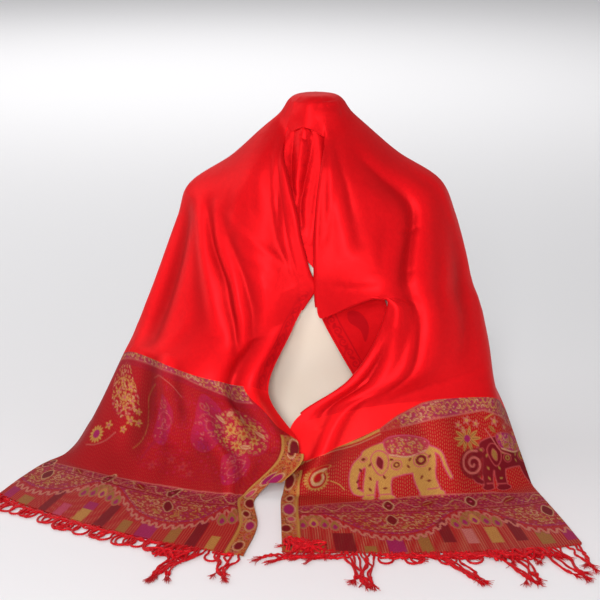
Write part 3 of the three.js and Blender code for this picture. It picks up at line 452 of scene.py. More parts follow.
def cloth_shell(name, points, grids, coarse, values):
    """A closed piece of cloth. The points lie on its middle, and each grid of their numbers faces
    out. The inside has one face for coarse x coarse outside. values are kept for each point."""
    def faces_of(grid):
        corners = np.stack([grid[:-1, :-1], grid[1:, :-1], grid[1:, 1:], grid[:-1, 1:]], axis=-1)
        return corners.reshape(-1, 4)

    outer = np.concatenate([faces_of(grid) for grid in grids])
    normal = np.zeros_like(points)
    square = np.cross(points[outer[:, 2]] - points[outer[:, 0]], points[outer[:, 3]] - points[outer[:, 1]])
    for k in range(4):
        np.add.at(normal, outer[:, k], square)
    normal /= np.maximum(np.linalg.norm(normal, axis=-1, keepdims=True), 1e-12)
    inner = np.concatenate([faces_of(grid[::coarse, ::coarse]) for grid in grids])
    chains = {}
    for grid in grids:
        for lines in (grid[::coarse], grid[:, ::coarse].T):
            for line in lines:
                for k in range(0, len(line) - 1, coarse):
                    chain = [int(v) for v in line[k:k + coarse + 1]]
                    chains[chain[0], chain[-1]] = chain
                    chains[chain[-1], chain[0]] = chain[::-1]
    used = np.unique(inner)
    inside_of = {int(v): len(points) + k for k, v in enumerate(used)}
    faces = [list(dict.fromkeys(face)) for face in outer.tolist()]
    edges = {}
    for face in inner.tolist():
        face = list(dict.fromkeys(face))
        if len(face) < 3:
            continue
        faces.append([inside_of[v] for v in reversed(face)])
        for a, b in zip(face, face[1:] + face[:1]):
            if (b, a) in edges:
                del edges[b, a]
            else:
                edges[a, b] = True
    for a, b in edges:
        chain = chains[a, b]
        middle = len(chain) // 2
        for k in range(len(chain) - 1):
            faces.append([chain[k + 1], chain[k], inside_of[a if k < middle else b]])
        faces.append([chain[middle], inside_of[a], inside_of[b]])
    faces = [face for face in faces if len(face) > 2]
    corners = np.concatenate([points + normal * CLOTH_HALF, (points - normal * CLOTH_HALF)[used]])
    piece = new_piece(name, corners, faces)
    mesh = piece.data
    for kind, value in values.items():
        value = np.concatenate([value, value[used]])
        if kind == "cloth":
            layer = mesh.uv_layers.new(name=kind)
            loops = np.empty(len(mesh.loops), dtype=int)
            mesh.loops.foreach_get("vertex_index", loops)
            layer.data.foreach_set("uv", value[loops].ravel())
        elif value.ndim == 2:
            layer = mesh.color_attributes.new(name=kind, type="FLOAT_COLOR", domain="POINT")
            layer.data.foreach_set("color", np.column_stack([value, np.ones(len(value))]).ravel())
        else:
            layer = mesh.attributes.new(name=kind, type="FLOAT", domain="POINT")
            layer.data.foreach_set("value", value.ravel())
    bpy.ops.object.shade_smooth_by_angle(angle=math.radians(60))
    return piece


class Sheet:
    """Collects a cloth's points in grids, so that grids can share the points where they meet."""
    def __init__(self):
        self.points, self.cloth, self.figure, self.grids = [], [], [], []
        self.count = 0

    def add(self, points, cloth, figure=None):
        """Numbers for new points, in their own layout. cloth is where they lie on the flat cut."""
        numbers = self.count + np.arange(points[..., 0].size).reshape(points.shape[:-1])
        self.points.append(points.reshape(-1, 3))
        self.cloth.append(cloth.reshape(-1, 2))
        self.figure.append(np.zeros(numbers.size) if figure is None else figure.ravel())
        self.count += numbers.size
        return numbers


ROWS_PER_SECTION = {"left": 24, "right": 18}
DRAPE_COLUMNS = np.linspace(0, 3, 161)
# Painted shade darkens the satin's colour down in a fold, and a painted highlight brightens it on
# its ridge. The shade compares each point with the cloth at SHADE_REACH of its width to either
# side; a rise of SHADE_RISE is a strong fold.
SHADE_REACH = 1 / 22
SHADE_RISE = 3.5 * MM
SHADE_MOST = 0.30
BELOW = np.array((0, 0, -0.2))  # a place that all the cloth faces away from


def painted_fold_shade(grid):
    """The painted shade in a fold's hollow and the painted highlight on its ridge, as shares."""
    reach = max(round(grid.shape[1] * SHADE_REACH), 1)
    padded = np.pad(grid, ((0, 0), (reach, reach), (0, 0)), mode="edge")
    middle = (padded[:, :-2 * reach] + padded[:, 2 * reach:]) / 2
    normals = grid_normals(grid)
    outward = np.sign((normals * (grid - BELOW)).sum(axis=-1).mean())
    rise = ((grid - middle) * normals).sum(axis=-1) * outward
    return SHADE_MOST * np.tanh((rise - rise.mean()) / SHADE_RISE)


# The left lapel juts out a little at the closing point, and its border of scrolls starts there.
LAPEL_POINT = {"row": 6.0, "out": 0.0055, "tall": 0.34, "wide": 0.016}
LAPEL_BORDER_FROM, LAPEL_BORDER_FADE = 5.9, 0.15
UNDER_COLUMNS, LEAST_TUCK = 10, 0.005


def lapel_border(out, down):
    """Red on red scrolls in a border along the lapel; out and down are millimetres from its edge."""
    rail = np.minimum(np.abs(out - 19), np.abs(out - 3.5)) - 0.9
    curl = np.abs(np.hypot((out - 11) / 1.1, (down + 9) % 18 - 9) - 4.2) - 1.1
    stem = np.abs(out - 11 - 4 * np.sin(2 * math.pi * down / 18)) - 1.0
    return np.clip(0.5 - np.minimum(rail, np.minimum(curl, stem)) / 1.6, 0, 1)


drape = Sheet()
first_rows = {}
halves = []
for half, (sections, folds, creases, seam, side) in HALVES.items():
    per_section = ROWS_PER_SECTION[half]
    rows = np.linspace(0, seam, seam * per_section + 1)
    grid = half_grid(sections, folds, creases, rows, DRAPE_COLUMNS, side)
    down = arc_lengths(grid, 0).mean(axis=1)[:, None].repeat(len(DRAPE_COLUMNS), 1)
    cloth = np.stack([arc_lengths(grid, 1), down], axis=-1)
    cloth[..., 0] *= -side
    figure = np.zeros(grid.shape[:2])
    if half == "left":
        away = (rows - LAPEL_POINT["row"])[:, None]
        near_row = np.exp(-(away / LAPEL_POINT["tall"]) ** 2)
        near_edge = np.exp(-(cloth[..., 0] / LAPEL_POINT["wide"]) ** 2)
        grid[..., 0] += LAPEL_POINT["out"] * (near_row * near_edge)
        started = np.clip((rows - LAPEL_BORDER_FROM) / LAPEL_BORDER_FADE, 0, 1)[:, None]
        figure = lapel_border(cloth[..., 0] / MM, cloth[..., 1] / MM) * started
    numbers = drape.add(grid, cloth, figure)
    halves.append(numbers)
    if half == "right":
        first_rows["left"][-1] = numbers[0, -1]
        left_numbers[0, -1] = numbers[0, -1]
    else:
        left_numbers = numbers
    first_rows[half] = numbers[0]
    tuck = np.interp(rows, range(len(sections)), [section[4] for section in sections.values()]) * MM
    drape.grids.append(numbers if side > 0 else numbers[:, ::-1])
    turned = np.nonzero(tuck > LEAST_TUCK)[0]
    for run in np.split(turned, np.nonzero(np.diff(turned) > 1)[0] + 1):
        run = run[run[0] % 2:]
        run = run[:len(run) - 1 + len(run) % 2]
        under = turned_under(grid, np.maximum(tuck, LEAST_TUCK), side)[run]
        under_cloth = cloth[run, :1].repeat(UNDER_COLUMNS, 1)
        under_cloth[..., 0] = side * np.linspace(0.002, 0.03, UNDER_COLUMNS)
        under_numbers = np.column_stack([numbers[run, 0], drape.add(under, under_cloth)])
        drape.grids.append(under_numbers[:, ::-1] if side > 0 else under_numbers)

# Between the halves, in front of the neck, the cloth lies over the panel in a short ledge. From
# there and from both halves it closes over the neck in a low dome.
LEDGE_MIDDLE = (-0.016, -0.046, 0.486)
LEDGE_COLUMNS, LEDGE_CLEARANCE = 30, 0.0038
CAP_RISE = 6.5 * MM
CAP_SHARES, CAP_POWER, CAP_ROWS = (0, 0.25, 0.5, 0.7, 0.87, 1), 4.5, 30
ledge_ends = [np.concatenate(drape.points)[first_rows[half][0]] for half in ("left", "right")]
ledge_curve = np.array([ledge_ends[0], LEDGE_MIDDLE, ledge_ends[1]])
ledge = through(ledge_curve, np.linspace(0, 2, LEDGE_COLUMNS + 1))[1:-1][::-1]
ledge = rest_on_form(ledge, LEDGE_CLEARANCE)
ledge_numbers = drape.add(ledge, ledge[:, :2])
ring_numbers = np.concatenate([first_rows["left"][:-1], first_rows["right"][::-1], ledge_numbers])
ring = np.concatenate(drape.points)[ring_numbers]
cap_top = np.array([0, 0, FORM_TOP + CAP_RISE])
cap_rails = np.stack([
    cap_top + (ring - cap_top) * (share, share, share ** CAP_POWER) for share in CAP_SHARES])
cap_places = np.linspace(0, len(CAP_SHARES) - 1, CAP_ROWS + 1)[1:-1]
cap = rest_on_form(through(np.swapaxes(cap_rails, 0, 1), cap_places))
cap = np.swapaxes(cap, 0, 1)
cap_numbers = drape.add(cap, cap[..., :2])
top_number = drape.add(cap_top[None], np.zeros((1, 2)))
cap_grid = np.vstack([np.full(len(ring), top_number[0]), cap_numbers, ring_numbers])
drape.grids.append(np.column_stack([cap_grid, cap_grid[:, 0]])[:, ::-1])


def smoothed(points, grids, weight, rounds):
    """Points drawn towards the middle of their neighbours, each by its own weight."""
    ends = [np.concatenate([np.concatenate([g[a].ravel(), g[:, a].ravel()]) for g in grids])
            for a in (slice(None, -1), slice(1, None))]
    pairs = np.unique(np.sort(np.stack(ends, axis=-1)), axis=0)
    pairs = pairs[pairs[:, 0] != pairs[:, 1]]
    both = np.concatenate([pairs, pairs[:, ::-1]])
    number = np.maximum(np.bincount(both[:, 0], minlength=len(points)), 1)
    for _ in range(rounds):
        sums = [np.bincount(both[:, 0], points[both[:, 1], k], len(points)) for k in range(3)]
        middle = np.stack(sums, axis=-1) / number[:, None]
        points = points + (middle - points) * weight[:, None]
    return points


# The cloth is eased where the halves meet the cap and at the end of the dart. The edge beside the
# opening stays where it is, apart from its part below the breast.
NECK_LOW, NECK_HIGH = (0.436, 0.03), (0.516, 0.02)  # heights, and how softly the easing starts there
DART_END, DART_REACH = (0.114, -0.150, 0.269), 0.020
EDGE_EASED_BELOW, EDGE_EASE, EASING_ROUNDS = 0.35, 0.7, 40
drape_points = np.concatenate(drape.points)
high = drape_points[:, 2]
loose = (np.clip((high - NECK_LOW[0]) / NECK_LOW[1], 0, 1)
         * np.clip((NECK_HIGH[0] - high) / NECK_HIGH[1], 0, 1))
from_dart = np.linalg.norm(drape_points - DART_END, axis=-1)
loose = np.maximum(loose, np.exp(-(from_dart / DART_REACH) ** 4))
loose[ledge_numbers] = 0
for grid_numbers in halves:
    loose[grid_numbers[:, 0]] *= np.where(high[grid_numbers[:, 0]] < EDGE_EASED_BELOW, EDGE_EASE, 0)
drape_points = rest_on_form(smoothed(drape_points, drape.grids, loose, EASING_ROUNDS))
# Painted shade in the hollows of the drape's folds and painted highlight on their ridges.
painted_drape_shade = np.zeros(len(drape_points))
for grid_numbers in halves:
    painted_drape_shade[grid_numbers] = painted_fold_shade(drape_points[grid_numbers])
shawl_drape = cloth_shell("shawl_drape", drape_points, drape.grids, 2,
                          {"cloth": np.concatenate(drape.cloth), "figure": np.concatenate(drape.figure),
                           "shade": painted_drape_shade})

# The satin's fine twill catches the light along its threads. Its colour drifts a little over the
# cloth, with thicker threads and a fine mottle, and a woven figure is darker and less bright.
# Painted shade darkens it in the folds' hollows and painted highlight brightens it on their ridges.
SATIN_DEEP, SATIN_BRIGHT = (0.66, 0.004, 0.007, 1), (0.86, 0.008, 0.012, 1)
red_satin, tree, shader = new_material(
    "red_satin", (0.74, 0.0045, 0.0085), 0.40, Metallic=0.32, Specular_IOR_Level=0.30,
    Specular_Tint=(1, 0.16, 0.16, 1), Sheen_Weight=0.10, Sheen_Roughness=0.45, Sheen_Tint=(1, 0.10, 0.10, 1))


def math_node(tree, operation, *values):
    """A Math node's result. Each value is a number or another node's socket."""
    node = tree.nodes.new("ShaderNodeMath")
    node.operation = operation
    for k, value in enumerate(values):
        if isinstance(value, (int, float)):
            node.inputs[k].default_value = value
        else:
            tree.links.new(value, node.inputs[k])
    return node.outputs["Value"]


def colour_mix(tree, factor, first, second, blend="MIX"):
    """A Mix node's colour, from a factor and two colours, each a value or a socket."""
    node = tree.nodes.new("ShaderNodeMix")
    node.data_type, node.blend_type = "RGBA", blend
    for socket, value in ((node.inputs["Factor"], factor), (node.inputs[6], first), (node.inputs[7], second)):
        if isinstance(value, bpy.types.NodeSocket):
            tree.links.new(value, socket)
        else:
            socket.default_value = value
    return node.outputs[2]


def attribute(tree, name, output="Fac"):
    """A value that the piece holds for each of its points."""
    return add_node(tree, "Attribute", attribute_name=name).outputs[output]


def with_painted_shade(tree, colour):
    """The colour with painted highlight on the folds' ridges and painted shade in their hollows."""
    value = math_node(tree, "ADD", attribute(tree, "shade"), 1.0)
    return add_node(tree, "HueSaturation", [("Color", colour), ("Value", value)]).outputs["Color"]


flat_cloth = add_node(tree, "UVMap", uv_map="cloth").outputs["UV"]
place = add_node(tree, "TexCoord").outputs["Object"]
figure = attribute(tree, "figure")
drift = noise(tree, place, 9.0)
slub_places = add_node(tree, "Mapping", [("Vector", flat_cloth)], Scale=(2600, 160, 1)).outputs["Vector"]
slub = noise(tree, slub_places, 1.0)
mottle = noise(tree, place, 170.0, 3.0, Roughness=0.6)
colour = colour_mix(tree, drift, SATIN_DEEP, SATIN_BRIGHT)
for texture, share, darker in (
        (slub, 0.34, (0.45, 0.002, 0.005, 1)), (mottle, 0.34, (0.36, 0.002, 0.005, 1)),
        (figure, 0.55, (0.30, 0.0015, 0.006, 1))):
    colour = colour_mix(tree, math_node(tree, "MULTIPLY", texture, share), colour, darker)
# The base colour carries painted shade in the folds' hollows and painted highlight on their ridges.
tree.links.new(with_painted_shade(tree, colour), shader.inputs["Base Color"])
rough = math_node(tree, "MULTIPLY_ADD", figure, 0.10, 0.43)
tree.links.new(math_node(tree, "MULTIPLY_ADD", drift, 0.05, rough), shader.inputs["Roughness"])
twill_places = add_node(tree, "Mapping", [("Vector", flat_cloth)], Rotation=(0, 0, 0.46)).outputs["Vector"]
twill = add_node(tree, "TexWave", [("Vector", twill_places)], Scale=190.0, Distortion=1.2, Detail=1.0)
ripple = noise(tree, place, 26.0, 3.0, Roughness=0.55)
relief = bumped(tree, (twill.outputs["Fac"], 0.10, 0.0003), (slub, 0.10, 0.0004), (ripple, 0.35, 0.0035))
tree.links.new(relief, shader.inputs["Normal"])
shawl_drape.data.materials.append(red_satin)
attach(shawl_drape, "root")
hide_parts("neck_and_shoulders", "left_fall", "right_fall")


# The two woven ends are figured on the loom in gold, pink and plum threads on the red ground, in
# one piece with the plain cloth above them. They come forward off the form, bend softly at its
# foot and lie flat on the table.
END_WIDTH, LEFT_END_HEIGHT, RIGHT_END_HEIGHT = 0.365, 0.300, 0.280
END_COLUMNS = np.linspace(0, 3, 321)


def thread(red, green, blue):
    """A yarn's colour, from the shades a screen shows to the light it gives back."""
    shade = np.array((red, green, blue)) / 255
    return np.where(shade < 0.04, shade / 12.92, ((shade + 0.055) / 1.055) ** 2.4)


RED, DEEP_RED, MAROON = thread(190, 8, 18), thread(138, 6, 16), thread(92, 8, 24)
GOLD, OLIVE, SALMON = thread(212, 170, 82), thread(164, 134, 62), thread(212, 116, 104)
PLUM, PINK, CREAM = thread(170, 36, 112), thread(214, 84, 118), thread(228, 190, 140)
YARN_STEP = 1.1  # millimetres over which one yarn gives way to the next


class Figures:
    """What the loom weaves into an end. s is millimetres out from the inner edge, t up from the hem."""
    def __init__(self, s, t, colour, plain=1.0):
        self.s, self.t = s.ravel(), t.ravel()
        self.colour = np.tile(np.array(colour, dtype=float), (s.size, 1))
        self.plain, self.satin = np.full(s.size, plain), np.zeros(s.size)
        self.everywhere = np.arange(s.size)

    def near(self, low, high, margin=3):
        """The numbers of the points in a box, and their places."""
        inside = ((self.s > low[0] - margin) & (self.s < high[0] + margin)
                  & (self.t > low[1] - margin) & (self.t < high[1] + margin))
        k = np.nonzero(inside)[0]
        return k, self.s[k], self.t[k]

    def weave(self, k, distance, colour, share=1.0):
        """Lays a colour where the distance to a figure is below 0."""
        cover = share * np.clip(0.5 - distance / YARN_STEP, 0, 1)
        self.colour[k] += (np.asarray(colour) - self.colour[k]) * cover[:, None]
        self.plain[k] *= 1 - cover

    def leave_satin(self, distance):
        """Where the distance is below 0, the cloth is the plain satin of the rest of the shawl."""
        self.satin = np.maximum(self.satin, np.clip(0.5 - distance / YARN_STEP, 0, 1))

    def disc(self, x, y, radius, colour, tall=1.0, ring=None, share=1.0):
        """A round figure, or a ring of the given width."""
        reach = radius * max(1, tall) + (ring or 0)
        k, s, t = self.near((x - reach, y - reach), (x + reach, y + reach))
        away = np.hypot(s - x, (t - y) / tall) - radius
        self.weave(k, away if ring is None else np.abs(away) - ring / 2, colour, share)

    def from_stretch(self, s, t, a, b):
        """How far along the straight stretch from a to b each place lies, and how far from it."""
        span = b - a
        along = np.clip(((s - a[0]) * span[0] + (t - a[1]) * span[1]) / max(span @ span, 1e-9), 0, 1)
        return along, np.hypot(s - a[0] - along * span[0], t - a[1] - along * span[1])

    def line(self, points, width, colour, end_width=None, share=1.0):
        """A smooth line through points, which may taper."""
        points = np.array(points, dtype=float)
        fine = through(points, np.linspace(0, len(points) - 1, 8 * (len(points) - 1) + 1))
        k, s, t = self.near(fine.min(axis=0) - width, fine.max(axis=0) + width)
        best = np.full(len(k), 1e3)
        for i, (a, b) in enumerate(zip(fine, fine[1:])):
            along, away = self.from_stretch(s, t, a, b)
            wide = width + ((end_width or width) - width) * (i + along) / (len(fine) - 1)
            best = np.minimum(best, away - wide / 2)
        self.weave(k, best, colour, share)

    def outline(self, points):
        """The points near a closed smooth curve, and how far out of it each lies."""
        points = np.array(points, dtype=float)
        closed = np.concatenate([points[-2:], points, points[:3]])
        fine = through(closed, np.linspace(2, len(points) + 2, 8 * len(points) + 1))
        k, s, t = self.near(fine.min(axis=0), fine.max(axis=0), 8)
        away, inside = np.full(len(k), 1e3), np.zeros(len(k), dtype=bool)
        for a, b in zip(fine, fine[1:]):
            away = np.minimum(away, self.from_stretch(s, t, a, b)[1])
            crossed = (a[1] > t) != (b[1] > t)
            across, up = b - a
            inside ^= crossed & (s < a[0] + (t - a[1]) * across / (up if up else 1))
        return k, np.where(inside, -away, away)

    def shape(self, points, colour, edge=None, edge_width=2.0, share=1.0):
        """A closed figure with smooth edges, and an outline round it in a second yarn."""
        k, away = self.outline(points)
        if edge is not None:
            self.weave(k, away - edge_width, edge, share)
        self.weave(k, away, colour, share)

    def flower(self, x, y, radius, petals, colour, centre, turn=0.0, share=1.0):
        """Petals round a centre."""
        k, s, t = self.near((x - radius, y - radius), (x + radius, y + radius))
        angle = np.arctan2(t - y, s - x) + turn
        edge = radius * (0.72 + 0.28 * np.cos(petals * angle))
        self.weave(k, np.hypot(s - x, t - y) - edge, colour, share)
        self.disc(x, y, radius * 0.34, centre, share=share)

    def leaf(self, x, y, length, width, turn, colour, vein=None, share=1.0):
        """A pointed leaf turned by an angle."""
        k, s, t = self.near((x - length, y - length), (x + length, y + length), 1)
        along = (s - x) * math.cos(turn) + (t - y) * math.sin(turn)
        off = (t - y) * math.cos(turn) - (s - x) * math.sin(turn)
        self.weave(k, np.abs(off) - width / 2 * (1 - (2 * along / length) ** 2), colour, share)
        if vein is not None:
            self.weave(k, np.maximum(np.abs(off) - 0.5, np.abs(along) - length * 0.32), vein, share)

    def spiral(self, x, y, radius, turns, start, width, colour, share=1.0):
        """A curl that winds in to its centre."""
        angle = start + np.linspace(0, turns * 2 * math.pi, int(turns * 10) + 3)
        out = np.linspace(radius, radius * 0.12, len(angle))
        curl = np.column_stack([x + out * np.cos(angle), y + out * np.sin(angle)])
        self.line(curl, width, colour, share=share)

    def scrolled(self, points, ground, colours, share):
        """A closed figure filled with small scrolls."""
        k, away = self.outline(points)
        region = np.full(self.s.size, 9.0)
        region[k] = away
        self.weave(k, away, ground, share)
        self.sprinkle(region + 1.5, 7.2, 1.1, colours, stray=0.6)

    def sprinkle(self, region, pitch, ring, colours, size=0.33, stray=0.35):
        """Small florets on a loose lattice over a region, which is a distance below 0 inside it."""
        k = np.nonzero(region < 0)[0]
        row = np.floor(self.t[k] / (pitch * 0.87))
        shift = (row % 2) * pitch / 2
        column = np.floor((self.s[k] + shift) / pitch)
        chance = np.sin(row * 127.1 + column * 311.7) * 43758.5
        chance -= np.floor(chance)
        other = (chance * 57.3) % 1
        x = (column + 0.5 + (chance - 0.5) * stray) * pitch - shift
        y = (row + 0.5 + (other - 0.5) * stray) * pitch * 0.87
        away = np.hypot(self.s[k] - x, self.t[k] - y)
        opening = np.cos(np.arctan2(self.t[k] - y, self.s[k] - x) + 2 * math.pi * chance)
        radius = pitch * size * (0.75 + 0.5 * other) * (1 + 0.22 * opening)
        choice = (chance * 7.7 % 1 * len(colours)).astype(int)
        for c, colour in enumerate(colours):
            mine = choice == c
            curl = np.abs(away[mine] - radius[mine]) - ring / 2
            self.weave(k[mine], np.maximum(curl, 4 * (opening[mine] - 0.62)), colour)
            self.weave(k[mine], away[mine] - radius[mine] * 0.36, colours[(c + 1) % len(colours)])


def swag_line(s, centre):
    """The height of the hanging rickrack line over the hem."""
    from_centre = np.abs((s - centre + 105) % 210 - 105)
    return np.interp(from_centre, (0, 20, 40, 60, 78, 92, 105), (34, 37, 46, 66, 86, 96, 99))


def lower_border(f, centre, rise, blocks, drops, share):
    """The hem's stripes and blocks, its swags and drops, and the band of scrolls over them."""
    s, t = f.s, f.t
    band_top = rise(s)
    hang = swag_line(s, centre)
    below = t - hang
    f.weave(f.everywhere, t - 108, RED)
    stripe = np.abs(s % 3.4 - 1.7) - 0.45
    f.weave(f.everywhere, np.maximum(stripe, below), CREAM, 0.5 * share)
    for low, high, bottom, top, colour in blocks:
        k, s1, t1 = f.near((low, bottom), (high, top))
        f.weave(k, np.maximum(np.abs(s1 - (low + high) / 2) - (high - low) / 2,
                              np.abs(t1 - (bottom + top) / 2) - (top - bottom) / 2), colour, 0.9)
    region = np.maximum(t - 107, hang + 12 - t)
    f.weave(f.everywhere, region, thread(168, 58, 56), 0.8)
    f.sprinkle(np.maximum(region, np.abs(below - 30) - 60), 8.5, 1.3, (CREAM, GOLD, PLUM, SALMON))
    hoops = np.hypot((s + 2.6) % 5.2 - 2.6, below - 15)
    f.weave(f.everywhere, np.abs(hoops - 1.6) - 0.7, PLUM, 0.9)
    scales = np.hypot((s + 3) % 6 - 3, below - 7.5)
    f.weave(f.everywhere, np.abs(scales - 2.2) - 0.5, SALMON, 0.45)
    zigzag = below + 4.2 * np.sin(2 * math.pi * s / 11)
    slope = np.hypot(1, 2.4 * np.cos(2 * math.pi * s / 11))
    f.weave(f.everywhere, np.abs(zigzag) / slope - 2.6, PLUM, 0.6)
    f.weave(f.everywhere, np.abs(zigzag) / slope - 1.8, thread(226, 150, 120))
    for x in drops:
        f.disc(x, 92, 13, OLIVE, tall=0.8, share=0.75)
        for off, y in ((-27, 70), (-14, 76), (0, 80), (14, 76), (27, 70)):
            drop = [(x + off, y + 15), (x + off + 6, y - 3), (x + off, y - 13), (x + off - 6, y - 3)]
            f.shape(drop, OLIVE if off else GOLD, SALMON, 1.6)
            inner_drop = [(x + off, y + 5), (x + off + 3.4, y - 4), (x + off, y - 10), (x + off - 3.4, y - 4)]
            f.shape(inner_drop, PLUM)
    for k in range(-1, 3):
        x = centre + 210 * k
        f.shape([(x, 99), (x + 7, 85), (x, 72), (x - 7, 85)], MAROON, CREAM, 1.3)
        for side in (-1, 1):
            f.spiral(x + side * 20, 88, 9, 1.1, math.pi / 2 - side * 1.6, 1.6, CREAM, 0.8)
            f.spiral(x + side * 37, 94, 7, 1.0, -side * 0.6, 1.5, GOLD, 0.8)
            f.leaf(x + side * 14, 66, 16, 5, side * 0.6, GOLD, MAROON, 0.8)
    band = np.maximum(t - band_top, 108 - t)
    f.weave(f.everywhere, band, thread(162, 30, 62))
    f.sprinkle(band, 7.5, 1.2, (SALMON, PLUM, GOLD, SALMON), stray=0.25)
    middle = (108 + band_top) / 2
    wave = middle + 8 * np.sin(2 * math.pi * (s - 5) / 38)
    f.weave(f.everywhere, np.maximum(np.abs(t - wave) - 0.9, band), CREAM, 0.75)
    for k in range(-1, 7):
        x = centre + 60 + 57.5 * k
        y = float(rise(x)) / 2 + 54
        if k % 2:
            f.shape([(x, y + 13), (x + 6.5, y), (x, y - 13), (x - 6.5, y)], MAROON, CREAM, 1.7)
            f.disc(x, y, 2, PINK)
        else:
            f.leaf(x - 3, y, 26, 10, 0.5, DEEP_RED, GOLD)
            f.disc(x + 12, y - 6, 3.6, PLUM, ring=1.4)
    f.weave(f.everywhere, np.abs(t - 108) - 1.0, DEEP_RED)
    f.weave(f.everywhere, np.abs(t - 111) - 0.7, SALMON, 0.7)
    f.weave(f.everywhere, np.abs(t - band_top) - 1.1, SALMON, 0.8)
    f.weave(f.everywhere, np.abs(t - 104.5) - 0.6, PLUM, 0.6)


def side_border(f, top, blobs, share):
    """The gold strip of scrolls along the fold."""
    strip = np.maximum(f.s - 22, f.t - top)
    f.weave(f.everywhere, strip, GOLD, 0.78 * share)
    f.weave(f.everywhere, np.maximum(np.abs(f.t % 3 - 1.5) - 0.5, strip), RED, 0.35)
    f.sprinkle(np.maximum(strip, np.abs(f.s - 10) - 9), 7, 1.3, (RED, MAROON, PINK, RED), 0.4)
    for x, y, wide, tall, colour in blobs:
        f.disc(x, y, wide, colour, tall=tall / wide)
        f.disc(x, y, wide + 1.6, CREAM, tall=tall / wide, ring=1.3)
    f.weave(f.everywhere, np.maximum(np.abs(f.s - 22) - 1.6, f.t - top), GOLD)
    f.weave(f.everywhere, np.maximum(np.abs(f.s - 25) - 0.8, f.t - top), MAROON, 0.5)


def elephant(f, x, y, size, skin, lining, cloth_colour, detail):
    """A dressed elephant that walks towards the inner edge, drawn about the middle of its body."""
    def at(*places):
        return [(x + size * u, y + size * v) for u, v in places]

    parts = [  # lines with their widths: trunk, forehead, legs, tail
        (at((-54, 16), (-66, 6), (-70, -12), (-66, -28), (-58, -33)), 17, 6),
        (at((-42, 2), (-46, -22), (-47, -38)), 19, 15), (at((-22, -6), (-24, -24), (-22, -40)), 20, 16),
        (at((40, 2), (43, -20), (52, -38)), 25, 15), (at((27, -6), (30, -22), (35, -36)), 17, 12),
        (at((48, 22), (60, 14), (68, -4), (76, -19)), 5, 3),
    ]
    body = at((-58, 26), (-44, 34), (-18, 38), (12, 40), (38, 32), (52, 14), (50, -6), (28, -8), (4, -10),
              (-18, -14), (-40, -14), (-52, 4))
    for swell, colour in ((1.9 * size, lining), (0, skin)):
        for path, wide, narrow in parts:
            f.line(path, wide * size + 2 * swell, colour, narrow * size + 2 * swell)
        k, away = f.outline(body)
        f.weave(k, away - swell, colour)
        for u, v in ((-48, -42), (-24, -43), (-18, -43), (56, -41), (38, -40)):
            f.disc(x + size * u, y + size * v, 9 * size + swell, colour, tall=0.5)
    f.shape(at((-36, 26), (-22, 20), (-20, 2), (-29, -8), (-40, 4), (-44, 18)), skin, lining, 1.7 * size)
    f.shape(at((-34, 18), (-27, 12), (-28, 0), (-36, 8)), detail, lining, 1.0)
    blanket = at((-24, 40), (10, 44), (42, 32), (38, 22), (12, 16), (-16, 20))
    f.shape(blanket, cloth_colour, lining, 1.8 * size)
    f.scrolled(blanket, cloth_colour, (GOLD, PINK, CREAM), 0)
    for u, v in ((-12, 30), (2, 33), (16, 32), (29, 27), (-2, 23), (11, 23)):
        f.flower(x + size * u, y + size * v, 4.4 * size, 5, GOLD, PLUM)
    f.line(at((-16, 19), (12, 14), (38, 21)), 1.8, CREAM)
    f.disc(x - 56 * size, y + 17 * size, 3.2 * size, detail, tall=0.7)
    f.disc(x - 56 * size, y + 17 * size, 5.4 * size, lining, tall=0.7, ring=1.2)
    for u, v, r in ((31, 8, 8.5), (-6, 4, 5)):
        f.disc(x + size * u, y + size * v, r * size, detail, tall=0.85)
        f.disc(x + size * u, y + size * v, r * size * 0.45, skin, tall=0.85)
        f.disc(x + size * u, y + size * v, (r + 3) * size, lining, tall=0.85, ring=1.4)
    for u, v in ((-60, 2), (-64, -14), (-45, -12), (-45, -28), (-24, -12), (-23, -28), (12, 0), (44, -6),
                 (43, -22), (32, -16), (-14, 12), (14, 10), (44, 12), (-46, 8), (-62, -24)):
        f.leaf(x + size * u, y + size * v, 7 * size, 3.4 * size, u % 3 - 1, detail)
    for path in (at((-50, -36), (-40, -36)), at((-30, -37), (-16, -37)), at((40, -34), (56, -33))):
        f.line(path, 1.6, lining)


def paisley(f, x, y, size, lean, skin, lining, centre):
    """A teardrop with a bent tip and a fringe of petals."""
    cos, sin = math.cos(lean), math.sin(lean)

    def at(*places):
        return [(x + size * (u * cos - v * sin), y + size * (u * sin + v * cos)) for u, v in places]

    for k in range(22):
        angle = 2 * math.pi * k / 22
        u, v = 17 * math.cos(angle) - 1, 15 * math.sin(angle) - 3
        (px, py), = at((u, v))
        f.leaf(px, py, 7.5 * size, 3.6 * size, angle + lean, lining)
    drop = at((0, -17), (13, -9), (13, 4), (5, 13), (9, 22), (-4, 17), (-13, 5), (-12, -9))
    f.shape(drop, RED, lining, 1.2)
    f.shape([(x + (px - x) * 0.78, y + (py - y) * 0.78) for px, py in drop], skin, RED, 1)
    f.shape([(x + (px - x) * 0.45, y + (py - y) * 0.45) for px, py in drop], centre, lining, 1)


def top_band(f, lower, upper, low_s, high_s, share):
    """The band of scrolls between the plain cloth and the figured field."""
    band = np.maximum(np.maximum(lower - f.t, f.t - upper), np.maximum(low_s - f.s, f.s - high_s))
    f.weave(f.everywhere, band, thread(170, 60, 84), share)
    f.sprinkle(band, 8, 1.3, (GOLD, PLUM, CREAM, SALMON), stray=0.2)
    middle = (lower + upper) / 2
    for phase in (0, math.pi):
        wave = middle + 7 * np.sin(2 * math.pi * f.s / 26 + phase)
        f.weave(f.everywhere, np.maximum(np.abs(f.t - wave) - 0.8, band), GOLD, 0.8 * share)
    for edge in (lower, upper):
        f.weave(f.everywhere, np.maximum(np.abs(f.t - edge) - 1.3, band - 1.3), SALMON, 0.8 * share)


